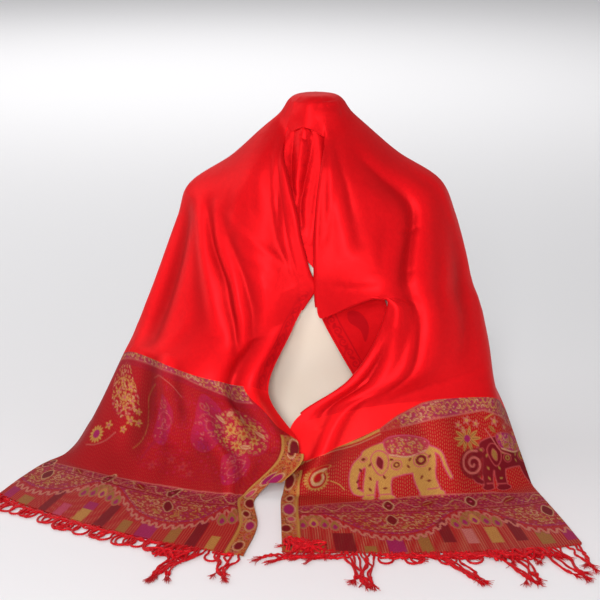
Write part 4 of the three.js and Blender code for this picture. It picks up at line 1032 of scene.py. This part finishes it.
def woven_right(s, t):
    """The right end's figures."""
    f = Figures(s, t, RED)
    s, t = f.s, f.t

    def rise(x):
        return np.interp(x, (0, 30, 100, 180, 300, 345, 365), (129, 131, 141, 149, 149, 138, 134))

    paisley(f, 49, 190, 0.95, -0.5, CREAM, GOLD, RED)
    f.line([(68, 182), (80, 176), (88, 168)], 1.4, GOLD)
    elephant(f, 168, 191, 0.96, GOLD, PINK, thread(186, 60, 74), MAROON)
    elephant(f, 338, 193, 0.86, MAROON, thread(196, 84, 84), PLUM, OLIVE)
    f.disc(277, 190, 21, MAROON, share=0.8)
    f.spiral(277, 190, 18, 1.7, 1.2, 3.2, SALMON)
    for angle in range(0, 360, 36):
        turn = math.radians(angle)
        f.leaf(270 + 13 * math.cos(turn), 224 + 10 * math.sin(turn), 17, 5, turn, GOLD, MAROON)
    f.disc(270, 224, 5, PLUM)
    for x, y, r in ((258, 243, 6), (272, 249, 7), (286, 244, 6), (265, 236, 5), (325, 226, 7), (318, 247, 8),
                    (338, 240, 6), (349, 250, 7), (360, 232, 6)):
        f.flower(x, y, r, 5, SALMON, GOLD)
    f.line([(300, 236), (310, 222), (322, 206), (340, 200)], 1.8, SALMON)
    f.line([(302, 250), (320, 258), (340, 256), (362, 246)], 1.8, GOLD)
    for x, y, turn in ((334, 214, 0.4), (346, 224, 1.4), (312, 236, 2.4), (355, 212, 0.9), (344, 262, 0.2)):
        f.leaf(x, y, 15, 6, turn, OLIVE, RED)
    lower = np.interp(s, (138, 200, 300, 345, 365), (243, 250, 262, 252, 240))
    upper = np.interp(s, (138, 165, 200, 300, 345, 365), (245, 261, 275, 291, 281, 268))
    top_band(f, lower, upper, 138, 372, 1.0)
    fold_line = np.interp(s, (0, 45, 135, 160), (213, 216, 243, 256))
    f.weave(f.everywhere, np.maximum(np.abs(t - fold_line + 8) - 9, s - 170), thread(186, 26, 20), 0.7)
    f.leave_satin(np.where(s < 138, fold_line + 4, upper + 2) - t)
    f.line([(28, 222), (48, 227), (80, 231), (110, 236), (138, 245)], 3.6, GOLD, share=0.85)
    f.line([(28, 217), (48, 222), (80, 226), (110, 231), (140, 240)], 1.2, CREAM, share=0.6)
    lower_border(f, 145, rise, (
        (39, 53, 0, 30, GOLD), (64, 90, 0, 50, MAROON), (100, 115, 0, 15, OLIVE), (129, 150, 0, 31, PLUM),
        (168, 183, 0, 46, OLIVE), (199, 215, 22, 82, MAROON), (228, 242, 18, 56, thread(222, 142, 132)),
        (258, 273, 18, 58, GOLD), (289, 304, 20, 78, MAROON), (317, 335, 8, 38, OLIVE),
        (351, 365, 10, 36, PLUM),
    ), (42, 252), 1.0)
    side_border(f, 205, (
        (7, 190, 6, 10, MAROON), (11, 122, 7, 15, PLUM), (6, 64, 6, 9, MAROON), (10, 22, 5, 9, PLUM),
        (12, 156, 4, 7, MAROON), (13, 92, 4, 6, PINK),
    ), 0.9)
    for x, y, wide, tall, colour in ((9, 240, 7, 8, MAROON), (35, 240, 6, 8, PLUM), (18, 222, 5, 6, MAROON)):
        f.disc(x, y, wide + 2.6, GOLD, tall=tall / wide)
        f.disc(x, y, wide, colour, tall=tall / wide)
    return f


def woven_left(s, t):
    """The left end's figures: the same cloth, seen further along its repeat and more from its back."""
    f = Figures(s, t, thread(178, 6, 22), 0.22)
    s, t = f.s, f.t

    def rise(x):
        return np.interp(x, (0, 90, 150, 250, 365), (136, 138, 135, 125, 119))

    rose, wine = thread(186, 30, 84), thread(160, 20, 54)
    field = np.maximum(np.maximum(28 - s, s - 225), np.maximum(150 - t, t - 272))
    f.sprinkle(field, 13, 1.4, (thread(178, 16, 44), thread(168, 10, 34), thread(186, 26, 60)), 0.4, 0.6)
    for points in (
            ((150, 205), (140, 250), (120, 276), (103, 262), (104, 228), (118, 196), (135, 190)),
            ((208, 192), (212, 232), (196, 258), (184, 240), (183, 205), (192, 188)),
            ((100, 190), (92, 168), (70, 150), (54, 156), (56, 182), (76, 196))):
        f.scrolled(points, rose, (SALMON, PLUM, rose, wine), 0.62)
        middle_s, middle_t = np.mean(points, axis=0)
        f.spiral(middle_s, middle_t, 16, 1.5, 0.4, 1.4, SALMON, 0.5)
        f.spiral(middle_s + 4, middle_t + 26, 9, 1.2, 2.4, 1.2, GOLD, 0.4)
    f.scrolled([(44, 202), (66, 192), (102, 200), (122, 224), (104, 250), (72, 262), (44, 240)], rose,
               (GOLD, OLIVE, SALMON, GOLD), 0.4)
    for x, y, r in ((62, 232, 8), (82, 240, 7), (96, 226, 8), (78, 222, 8), (62, 212, 7), (84, 206, 7),
                    (100, 212, 5)):
        f.flower(x, y, r, 6, GOLD, thread(190, 40, 40), 0.4, 0.85)
    for x, y, turn in ((54, 222, 0.5), (72, 244, 1.9), (90, 250, 2.6), (108, 240, 0.8), (72, 204, 0.2)):
        f.leaf(x, y, 16, 6, turn, CREAM, RED, 0.7)
    leaf = [(256, 212), (250, 240), (262, 268), (276, 286), (300, 274), (306, 246), (296, 218), (274, 206)]
    f.scrolled(leaf, wine, (GOLD, SALMON, CREAM, GOLD), 0.35)
    f.spiral(280, 244, 20, 1.6, 0.4, 1.6, GOLD, 0.7)
    for x, y, r in ((266, 252, 7), (283, 258, 6), (276, 236, 7), (262, 234, 6), (290, 240, 6), (272, 222, 6),
                    (288, 222, 5), (257, 207, 7), (245, 207, 6), (290, 193, 7), (263, 193, 6), (250, 222, 5)):
        f.flower(x, y, r, 5, GOLD, PINK, 0.9, 0.85)
    for k in range(14):
        turn = 2 * math.pi * k / 14
        f.leaf(307 + 9 * math.cos(turn), 177 + 9 * math.sin(turn), 9, 3.6, turn, GOLD)
    f.disc(307, 177, 6, PLUM)
    f.line([(214, 268), (226, 258), (235, 245), (232, 224), (225, 205), (229, 186), (238, 172)], 1.3, GOLD,
           share=0.5)
    f.line([(320, 160), (304, 162), (286, 172), (274, 186)], 1.6, SALMON, share=0.8)
    f.line([(206, 190), (214, 176), (218, 160)], 5, wine, 2, share=0.8)
    f.line([(160, 262), (178, 276), (200, 282), (216, 276)], 1.8, SALMON, share=0.6)
    for x, y, r in ((150, 165, 8), (172, 172, 7), (134, 158, 6), (196, 158, 7), (60, 166, 7), (84, 178, 6)):
        f.flower(x, y, r, 5, thread(196, 60, 60), wine, share=0.7)
    lower = np.interp(s, (0, 60, 100, 150, 280, 365), (272, 276, 284, 293, 290, 284))
    upper = np.interp(s, (0, 60, 80, 110, 150, 200, 280, 365), (296, 301, 308, 316, 322, 321, 314, 308))
    top_band(f, lower, upper, 40, 372, 0.85)
    f.weave(f.everywhere, np.maximum(t - lower, lower - 9 - t), wine, 0.5)
    tongue = np.maximum(np.interp(t, (215, 240, 300, 340), (-6, 22, 44, 70)) * -1 + s, 218 - t)
    f.weave(f.everywhere, tongue, RED)
    f.leave_satin(tongue)
    f.leave_satin(upper + 1 - t)
    lower_border(f, 125, rise, (
        (122, 145, 0, 32, PLUM), (158, 172, 0, 30, OLIVE), (90, 104, 0, 40, OLIVE), (190, 205, 0, 60, MAROON),
        (62, 76, 0, 60, MAROON), (222, 238, 0, 32, GOLD), (222, 238, 32, 52, PLUM), (255, 268, 0, 32, PINK),
        (280, 292, 0, 60, MAROON), (312, 330, 0, 22, OLIVE), (344, 358, 0, 30, PLUM), (38, 50, 0, 30, GOLD),
    ), (20, 230), 0.6)
    side_border(f, 226, (
        (6, 210, 6, 9, MAROON), (8, 164, 7, 10, PLUM), (6, 116, 6, 10, MAROON), (9, 62, 5, 9, PLUM),
        (11, 16, 5, 8, MAROON), (13, 138, 4, 6, PINK), (14, 90, 4, 6, MAROON),
    ), 0.85)
    return f


# Gold and coloured yarns lie over the red ground in fine upright rows, so red shows between them,
# and on the plain field a broken gold yarn runs up every few threads.
COLUMN_WIDTH, DASH_LENGTH, ROW_WIDTH, STAGGER_LENGTH = 0.0032, 0.0052, 0.0016, 0.0023
woven_silk, tree, shader = new_material(
    "woven_silk", (0.5, 0.01, 0.02), 0.55, Specular_IOR_Level=0.14, Specular_Tint=(1, 0.45, 0.35, 1),
    Sheen_Weight=0.03, Sheen_Roughness=0.5, Sheen_Tint=(1, 0.3, 0.25, 1))
flat_cloth = add_node(tree, "UVMap", uv_map="cloth").outputs["UV"]
place = add_node(tree, "TexCoord").outputs["Object"]
across, up = (add_node(tree, "SeparateXYZ", [("Vector", flat_cloth)]).outputs[axis] for axis in "XY")
columns = math_node(tree, "MULTIPLY", across, 1 / COLUMN_WIDTH)
column = math_node(tree, "FLOOR", columns)
in_column = math_node(tree, "ABSOLUTE", math_node(tree, "SUBTRACT", math_node(tree, "FRACT", columns), 0.5))
chance = add_node(tree, "TexWhiteNoise", [("W", column)], noise_dimensions="1D").outputs["Value"]
steps = math_node(tree, "FRACT", math_node(tree, "MULTIPLY_ADD", up, 1 / DASH_LENGTH, chance))
dash = math_node(tree, "MULTIPLY", math_node(tree, "LESS_THAN", in_column, 0.17),
                 math_node(tree, "LESS_THAN", steps, 0.6))
dash = math_node(tree, "MULTIPLY", math_node(tree, "MULTIPLY", dash, attribute(tree, "plain")), 0.30)
hatch = math_node(tree, "SINE", math_node(tree, "MULTIPLY", across, 2 * math.pi / ROW_WIDTH))
hatch = math_node(tree, "MULTIPLY_ADD", hatch, 0.5, 0.5)
stagger = math_node(tree, "SINE", math_node(tree, "MULTIPLY_ADD", up, 2 * math.pi / STAGGER_LENGTH,
                                            math_node(tree, "MULTIPLY", across, 2 * math.pi / COLUMN_WIDTH)))
ground_shows = math_node(tree, "MULTIPLY", hatch, math_node(tree, "MULTIPLY_ADD", stagger, 0.18, 0.57))
yarn_places = add_node(tree, "Mapping", [("Vector", flat_cloth)], Scale=(900, 320, 1)).outputs["Vector"]
yarn_noise = noise(tree, yarn_places, 1.0)
colour = colour_mix(tree, ground_shows, attribute(tree, "yarn", "Color"), (0.27, 0.005, 0.010, 1))
colour = colour_mix(tree, dash, colour, (0.56, 0.33, 0.11, 1))
colour = colour_mix(tree, math_node(tree, "MULTIPLY", yarn_noise, 0.65), colour, (0.12, 0.006, 0.01, 1))
cloud = noise(tree, place, 14.0)
colour = colour_mix(tree, math_node(tree, "MULTIPLY", cloud, 0.5), colour, (0.6, 0.5, 0.5, 1), "MULTIPLY")
satin = attribute(tree, "satin")
colour = colour_mix(tree, satin, colour, colour_mix(tree, cloud, SATIN_DEEP, SATIN_BRIGHT))
# The woven colour carries painted shade in the folds' hollows and painted highlight on their ridges.
tree.links.new(with_painted_shade(tree, colour), shader.inputs["Base Color"])
tree.links.new(math_node(tree, "MULTIPLY_ADD", satin, -0.11, 0.56), shader.inputs["Roughness"])
tree.links.new(math_node(tree, "MULTIPLY", satin, 0.32), shader.inputs["Metallic"])
weft = add_node(tree, "TexWave", [("Vector", flat_cloth)], bands_direction="Y", Scale=350.0, Distortion=0.6)
relief = bumped(tree, (hatch, 0.22, 0.0004), (weft.outputs["Fac"], 0.10, 0.0003), (yarn_noise, 0.30, 0.0006))
tree.links.new(relief, shader.inputs["Normal"])

ENDS = {}
for half, height, per_section, figures in (
        ("left", LEFT_END_HEIGHT, 56, woven_left), ("right", RIGHT_END_HEIGHT, 64, woven_right)):
    sections, folds, creases, seam, side = HALVES[half]
    last = len(sections) - 1
    rows = np.linspace(seam - 1, last, (last - seam + 1) * per_section + 1)
    grid = half_grid(sections, folds, creases, rows, END_COLUMNS, side)[per_section:]
    across = arc_lengths(grid, 1)
    across *= END_WIDTH / across[:, -1:]
    up = arc_lengths(grid[::-1], 0)[::-1]
    up *= height / up[:1]
    end = Sheet()
    numbers = end.add(grid, np.stack([across, up], axis=-1))
    end.grids.append(numbers if side > 0 else numbers[:, ::-1])
    drawn = figures(across / MM, up / MM)
    # The end keeps the painted fold shade and highlight for its material.
    piece = cloth_shell(f"{half}_end_cloth", np.concatenate(end.points), end.grids, 4,
                        {"cloth": np.concatenate(end.cloth), "yarn": drawn.colour, "plain": drawn.plain,
                         "satin": drawn.satin, "shade": painted_fold_shade(grid).ravel()})
    piece.data.materials.append(woven_silk)
    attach(piece, "root")
    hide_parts(f"{half}_end")
    ENDS[half] = {"piece": piece, "grid": grid, "up": up, "rows": rows[per_section:]}


# Three smaller parts of the same cloth show inside the drape: the recessed panel under the neck,
# the fold below the right breast, and the under layer beside the left end's inner edge.
PANEL_SECTIONS = [  # left, middle and right, in millimetres, from under the neck to its edge
    ((-38, -22, 489), (-16, -36, 496), (9, -33, 489)),
    ((-62, -48, 438), (-18, -66, 434), (26, -58, 434)),
    ((-64, -74, 400), (-16, -88, 390), (26, -80, 388)),
    ((-60, -86, 384), (-12, -106, 346), (28, -100, 340)),
    ((-54, -89, 376), (-13, -114, 308), (28, -118, 264)),
]
PANEL_CREASES = [  # paths through sections and across from left (0) to right (2), height and width
    (((0.1, 1.45), (1.1, 1.12), (2.2, 0.86), (3.2, 0.8)), -4.5, 5),
    (((0.1, 0.5), (1.2, 0.62), (2.4, 0.7)), -4, 4),
    (((0.1, 0.95), (0.9, 0.88), (1.9, 0.76)), 4, 6), (((0.1, 0.2), (1.4, 0.34), (3, 0.46), (3.9, 0.6)), 5, 6),
    (((0.2, 1.7), (1.8, 1.42), (3.4, 1.1)), 3, 5), (((0.16, 0.86), (0.26, 1.05), (0.2, 1.3)), 2.2, 2.5),
    (((0.34, 0.8), (0.42, 1.05), (0.34, 1.36)), -2.2, 2.5),
]
FLAP_SECTIONS = [  # its edge beside the opening, its middle, and where the swag hides it
    ((5, -133, 243), (52, -143, 262), (95, -139, 262)),
    ((9, -127, 224), (58, -133, 243), (101, -135, 244)),
    ((31, -126, 180), (70, -127, 198), (106, -136, 205)),
    ((56, -126, 134), (82, -127, 150), (108, -138, 160)),
    ((68, -130, 108), (88, -132, 122), (108, -142, 132)),
]


def small_sheet(name, table, figures, creases=()):
    """A sheet lofted through three points of each section, facing the front."""
    down = np.linspace(0, len(table) - 1, 113)
    across = np.linspace(0, 2, 81)
    rails = through(np.swapaxes(np.array(table) * MM, 0, 1), down)
    grid = creased(through(np.swapaxes(rails, 0, 1), across), creases, down, across, 1)
    grid = rest_on_table(rest_on_form(grid))
    cloth = np.stack([arc_lengths(grid, 1), arc_lengths(grid, 0)], axis=-1)
    sheet = Sheet()
    sheet.grids.append(sheet.add(grid, cloth))
    drawn = Figures(cloth[..., 0] / MM, cloth[..., 1] / MM, RED)
    figures(drawn)
    # The sheet keeps the painted fold shade and highlight for its material.
    return cloth_shell(name, np.concatenate(sheet.points), sheet.grids, 4,
                       {"cloth": cloth.reshape(-1, 2), "figure": 1 - drawn.plain,
                        "shade": painted_fold_shade(grid).ravel()})


def panel_figures(f):
    """Curling stems all over, red on red."""
    for k in range(24):
        x, y = 12 + 24 * (k % 3) + 3 * (k % 2), 26 + 7.5 * k
        f.spiral(x, y, 6.5, 1.3, 0.8 * k, 1.1, DEEP_RED, share=0.5)
        f.leaf(x + 8, y + 5, 9, 4, 0.7 * k, DEEP_RED, share=0.4)
        f.flower(x - 8, y + 5, 3.4, 5, DEEP_RED, RED, share=0.5)


def flap_figures(f):
    """A border of scrolls along the selvedge, and one bent leaf beside it."""
    f.weave(f.everywhere, np.abs(f.s - 21) - 0.9, DEEP_RED)
    f.weave(f.everywhere, np.abs(f.s - 3) - 0.8, DEEP_RED)
    for k in range(8):
        f.spiral(12, 8 + 19 * k, 7, 1.3, 2.4 * k, 2.0, DEEP_RED)
        f.leaf(12, 17.5 + 19 * k, 11, 5, 0.9 - 1.8 * (k % 2), DEEP_RED)
    f.shape([(40, 24), (54, 30), (58, 46), (50, 66), (40, 78), (42, 58), (34, 40)], DEEP_RED)
    f.flower(48, 44, 7, 5, RED, DEEP_RED)


centre_pleat = small_sheet("centre_pleat", PANEL_SECTIONS, panel_figures, PANEL_CREASES)
right_inner_fold = small_sheet("right_inner_fold", FLAP_SECTIONS, flap_figures)
for piece, node in ((centre_pleat, "centre_panel"), (right_inner_fold, "right_selvedge_fold")):
    piece.data.materials.append(red_satin)
    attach(piece, "root")
    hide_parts(node)

PLY_FROM, PLY_TO, PLY_DEPTH, PLY_COLUMNS = 9.67, 10.67, 0.0036, 25
PLY_HIGH, PLY_LOW = (-16, -8, 0, 8), (-6, 2, 9, 16)  # how far each line lies beyond the edge above it
end = ENDS["left"]
kept = (end["rows"] >= PLY_FROM - 0.001) & (end["rows"] <= PLY_TO + 0.001)
edge = end["grid"][kept, 0]
outwards = edge - end["grid"][kept, 15]
outwards /= np.linalg.norm(outwards, axis=-1, keepdims=True)
behind = np.cross(np.gradient(edge, axis=0), outwards)
behind /= np.linalg.norm(behind, axis=-1, keepdims=True)
share = np.linspace(0, 1, len(edge))[:, None]
beyond = ((1 - share) * PLY_HIGH + share * PLY_LOW) * MM
lines = edge[:, None] + outwards[:, None] * beyond[..., None] + behind[:, None] * PLY_DEPTH
ply = rest_on_table(through(lines, np.linspace(0, 3, PLY_COLUMNS)))
ply = ply[:len(ply) - (len(ply) - 1) % 4]
ply_up = end["up"][kept][:len(ply), :1].repeat(PLY_COLUMNS, 1)
ply_cloth = np.stack([arc_lengths(ply, 1), ply_up], axis=-1)
drawn = woven_left(ply_cloth[..., 0] / MM, ply_cloth[..., 1] / MM)
ply_sheet = Sheet()
ply_sheet.grids.append(ply_sheet.add(ply, ply_cloth))
left_inner_ply = cloth_shell("left_inner_ply", np.concatenate(ply_sheet.points), ply_sheet.grids, 4,
                             {"cloth": ply_cloth.reshape(-1, 2), "yarn": drawn.colour, "plain": drawn.plain})
left_inner_ply.data.materials.append(woven_silk)
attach(left_inner_ply, "root")
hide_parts("left_under_layer")


# Each hem's own warp is twisted two by two into glossy cords that end in a knot and a brush of
# loose yarn. Some have curled back into loops, some lie along the hem, and some lean together.
CORD_RADIUS = 0.00145
CORD_SIDES, CORD_LOBES, CORD_TWIST = 8, 0.2, 1250
KNOT = (1.5, 1.9, 1.4)  # how much thicker the cord is at its knot
BRUSH_STRANDS, BRUSH_LENGTHS, BRUSH_FAN, BRUSH_HEIGHT = 18, (0.011, 0.021), 0.5, 0.0042
STRAND_RADIUS = 0.0006
LEAN_TOGETHER = 0.75  # how far hanging cords reach back to the middle of their group
LIFTS = {"heap": 7.5, "loop": 0.8, "lay": 2.2, "hang": 1.4}  # millimetres off the table
FRINGE_GROUPS = {  # kind, from and to along the hem, number, then where its cords end: along, out
    "left": [
        ("hang", 0.01, 0.10, 5, -10, 52), ("hang", 0.12, 0.24, 7, 14, 74), ("loop", 0.10, 0.34, 7, 0, 0),
        ("heap", 0.16, 0.28, 5, 6, 26), ("loop", 0.33, 0.76, 14, 0, 0), ("lay", 0.30, 0.93, 4, 42, 9),
        ("loop", 0.76, 0.93, 5, 0, 0), ("hang", 0.88, 0.96, 3, 6, 62), ("heap", 0.95, 1.0, 3, 4, 14),
    ],
    "right": [
        ("heap", 0.01, 0.08, 8, 4, -17), ("heap", 0.03, 0.12, 6, 4, -6), ("lay", 0.01, 0.26, 9, -36, 14),
        ("hang", 0.20, 0.31, 8, 4, 68), ("lay", 0.28, 0.62, 10, 42, 12), ("loop", 0.30, 0.62, 5, 0, 0),
        ("hang", 0.48, 0.57, 4, 34, 60), ("heap", 0.66, 0.86, 10, 8, 16), ("hang", 0.68, 0.80, 5, 14, 66),
        ("lay", 0.60, 0.84, 5, 34, 14), ("hang", 0.84, 0.93, 4, 12, 66), ("hang", 0.94, 1.0, 3, 2, 48),
    ],
}


def tube(points, radii, sides, lobes=0.0, twist=0.0):
    """A closed tube along points, as corners and faces. Lobes are a twisted cord's two plies."""
    ahead = np.gradient(points, axis=0)
    ahead /= np.maximum(np.linalg.norm(ahead, axis=-1, keepdims=True), 1e-9)
    beside = np.cross(ahead, (0, 0, 1))
    beside /= np.maximum(np.linalg.norm(beside, axis=-1, keepdims=True), 1e-9)
    above = np.cross(beside, ahead)
    length = arc_lengths(points, 0)[:, None]
    angle = np.linspace(0, 2 * math.pi, sides, endpoint=False)[None]
    wide = radii[:, None] * (1 + lobes * np.cos(2 * (angle - twist * length)))
    corners = (points[:, None] + beside[:, None] * (wide * np.cos(angle))[..., None]
               + above[:, None] * (wide * np.sin(angle))[..., None]).reshape(-1, 3)
    ring = np.arange(sides)
    start = (np.arange(len(points) - 1) * sides)[:, None]
    quads = np.stack([start + ring, start + sides + ring, start + sides + (ring + 1) % sides,
                      start + (ring + 1) % sides], axis=-1).reshape(-1, 4).tolist()
    last = (len(points) - 1) * sides
    return corners, quads + [ring.tolist(), (last + ring[::-1]).tolist()]


def cord_path(kind, along, out, chance):
    """A cord's places on the table from its root, in millimetres: along the hem, out of it, up."""
    swing = chance.uniform(-1, 1, 6)
    if kind == "loop":
        radius, way = 9.6 + 1.6 * swing[0], 1 if swing[1] > -0.6 else -1
        angle = np.radians(np.linspace(215, -110, 9))
        circle = [(way * (9 + radius * math.cos(a)), radius + 5 + radius * math.sin(a) * 1.25) for a in angle]
        places = [(0, -2), (0, 2)] + circle + [(way * 18, 4 + swing[2]), (way * 34, 3 + 2 * swing[3])]
    elif kind == "lay":
        places = [(0, -2), (0, 3), (along * 0.14, 8 + 3 * swing[0]), (along * 0.4, out + 5 * swing[1]),
                  (along * 0.7, out * 0.8 + 5 * swing[2]), (along, out + 6 * swing[3])]
    elif kind == "heap":
        places = [(0, -2), (along * 0.4, out * 0.4)]
        for turn in np.cumsum(chance.uniform(0.8, 3.4, 7)):
            reach = chance.uniform(3, 12)
            places.append((along + reach * math.cos(turn), out + reach * math.sin(turn)))
    else:
        places = [(0, -2), (0, 3), (along * 0.12 + 5 * swing[0], out * 0.25),
                  (along * 0.5 + 6 * swing[1], out * 0.5), (along * 0.8 + 5 * swing[2], out * 0.76),
                  (along + 7 * swing[3], out + 8 * swing[4])]
    fine = through(np.array(places, dtype=float), np.linspace(0, len(places) - 1, 6 * len(places)))
    share = np.linspace(0, 1, len(fine))
    waves = np.abs(np.sin(math.pi * share * (2 + 2 * abs(swing[5]))))
    rise = LIFTS[kind] * waves * np.sin(math.pi * share) ** 0.3
    return np.column_stack([fine, rise])


red_cord, tree, shader = new_material(
    "red_cord", (0.80, 0.006, 0.011), 0.34, Metallic=0.15, Specular_IOR_Level=0.35,
    Specular_Tint=(1, 0.25, 0.25, 1), Sheen_Weight=0.15, Sheen_Tint=(1, 0.2, 0.2, 1))
place = add_node(tree, "TexCoord").outputs["Object"]
colour = colour_mix(tree, noise(tree, place, 160.0), (0.30, 0.002, 0.006, 1), (0.66, 0.006, 0.012, 1))
tree.links.new(colour, shader.inputs["Base Color"])
tree.links.new(bumped(tree, (noise(tree, place, 2200.0), 0.3, 0.0003)), shader.inputs["Normal"])

for half, side, seed in (("left", -1, 11), ("right", 1, 5)):
    chance = np.random.RandomState(seed)
    hem = ENDS[half]["grid"][-1]
    hem_along = arc_lengths(hem[None], 1)[0]
    hem_length = hem_along[-1]
    corners, faces, count = [], [], 0
    for kind, first, last, number, along, out in FRINGE_GROUPS[half]:
        for k in range(number):
            spot = first + (last - first) * (k + 0.5 + chance.uniform(-0.25, 0.25)) / number
            column = np.interp(spot * hem_length, hem_along, range(len(hem)))
            root = hem[int(column)]
            way = hem[min(int(column) + 12, len(hem) - 1)] - hem[max(int(column) - 12, 0)]
            way[2] = 0
            way /= np.linalg.norm(way)
            square = np.cross(way, (0, 0, 1)) * side
            square = square if square[1] < 0 else -square
            middle = (first + last) / 2
            pulled = along + (middle - spot) * hem_length / MM * LEAN_TOGETHER if kind == "hang" else along
            path = cord_path(kind, pulled, out, chance) * MM
            points = root + path[:, :1] * way + path[:, 1:2] * square
            on_cloth = np.clip(-path[:, 1] / (4 * MM), 0, 1)
            points[:, 2] = CORD_RADIUS + path[:, 2] + on_cloth * CLOTH_HALF * 2
            radii = np.full(len(points), CORD_RADIUS)
            tip = points[-1]
            radii[-4:-1] *= KNOT
            pieces = [tube(points, radii, CORD_SIDES, CORD_LOBES, CORD_TWIST)]
            ahead = points[-1] - points[-4]
            ahead /= np.linalg.norm(ahead)
            if kind != "loop":
                for _ in range(BRUSH_STRANDS):
                    fan = chance.uniform(-BRUSH_FAN, BRUSH_FAN)
                    length = chance.uniform(*BRUSH_LENGTHS)
                    bend = chance.uniform(-BRUSH_FAN, BRUSH_FAN)
                    share = np.linspace(0, 1, 5)
                    turn = np.arctan2(ahead[1], ahead[0]) + fan * share + bend * share ** 2
                    strand_points = np.cumsum(np.column_stack([np.cos(turn), np.sin(turn), 0 * turn]), axis=0)
                    strand_points = tip + (strand_points - strand_points[0]) * length / 4
                    high = chance.uniform(STRAND_RADIUS, BRUSH_HEIGHT)
                    strand_points[:, 2] = tip[2] + (high - tip[2]) * share ** 0.7
                    pieces.append(tube(strand_points, STRAND_RADIUS * (1.2 - 0.8 * share), 3))
            for piece_corners, piece_faces in pieces:
                corners.append(piece_corners)
                faces += [[count + v for v in face] for face in piece_faces]
                count += len(piece_corners)
    places = np.concatenate(corners)
    places[:, 2] = np.maximum(places[:, 2], 0.0001)
    fringe = new_piece(f"{half}_fringe_cords", places, faces)
    bpy.ops.object.mode_set(mode="EDIT")
    bpy.ops.mesh.select_all(action="SELECT")
    bpy.ops.mesh.normals_make_consistent(inside=False)
    bpy.ops.object.mode_set(mode="OBJECT")
    bpy.ops.object.shade_smooth_by_angle(angle=math.radians(60))
    fringe.data.materials.append(red_cord)
    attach(fringe, "root")
    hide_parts(f"{half}_fringe")
    ENDS[half]["fringe"] = fringe
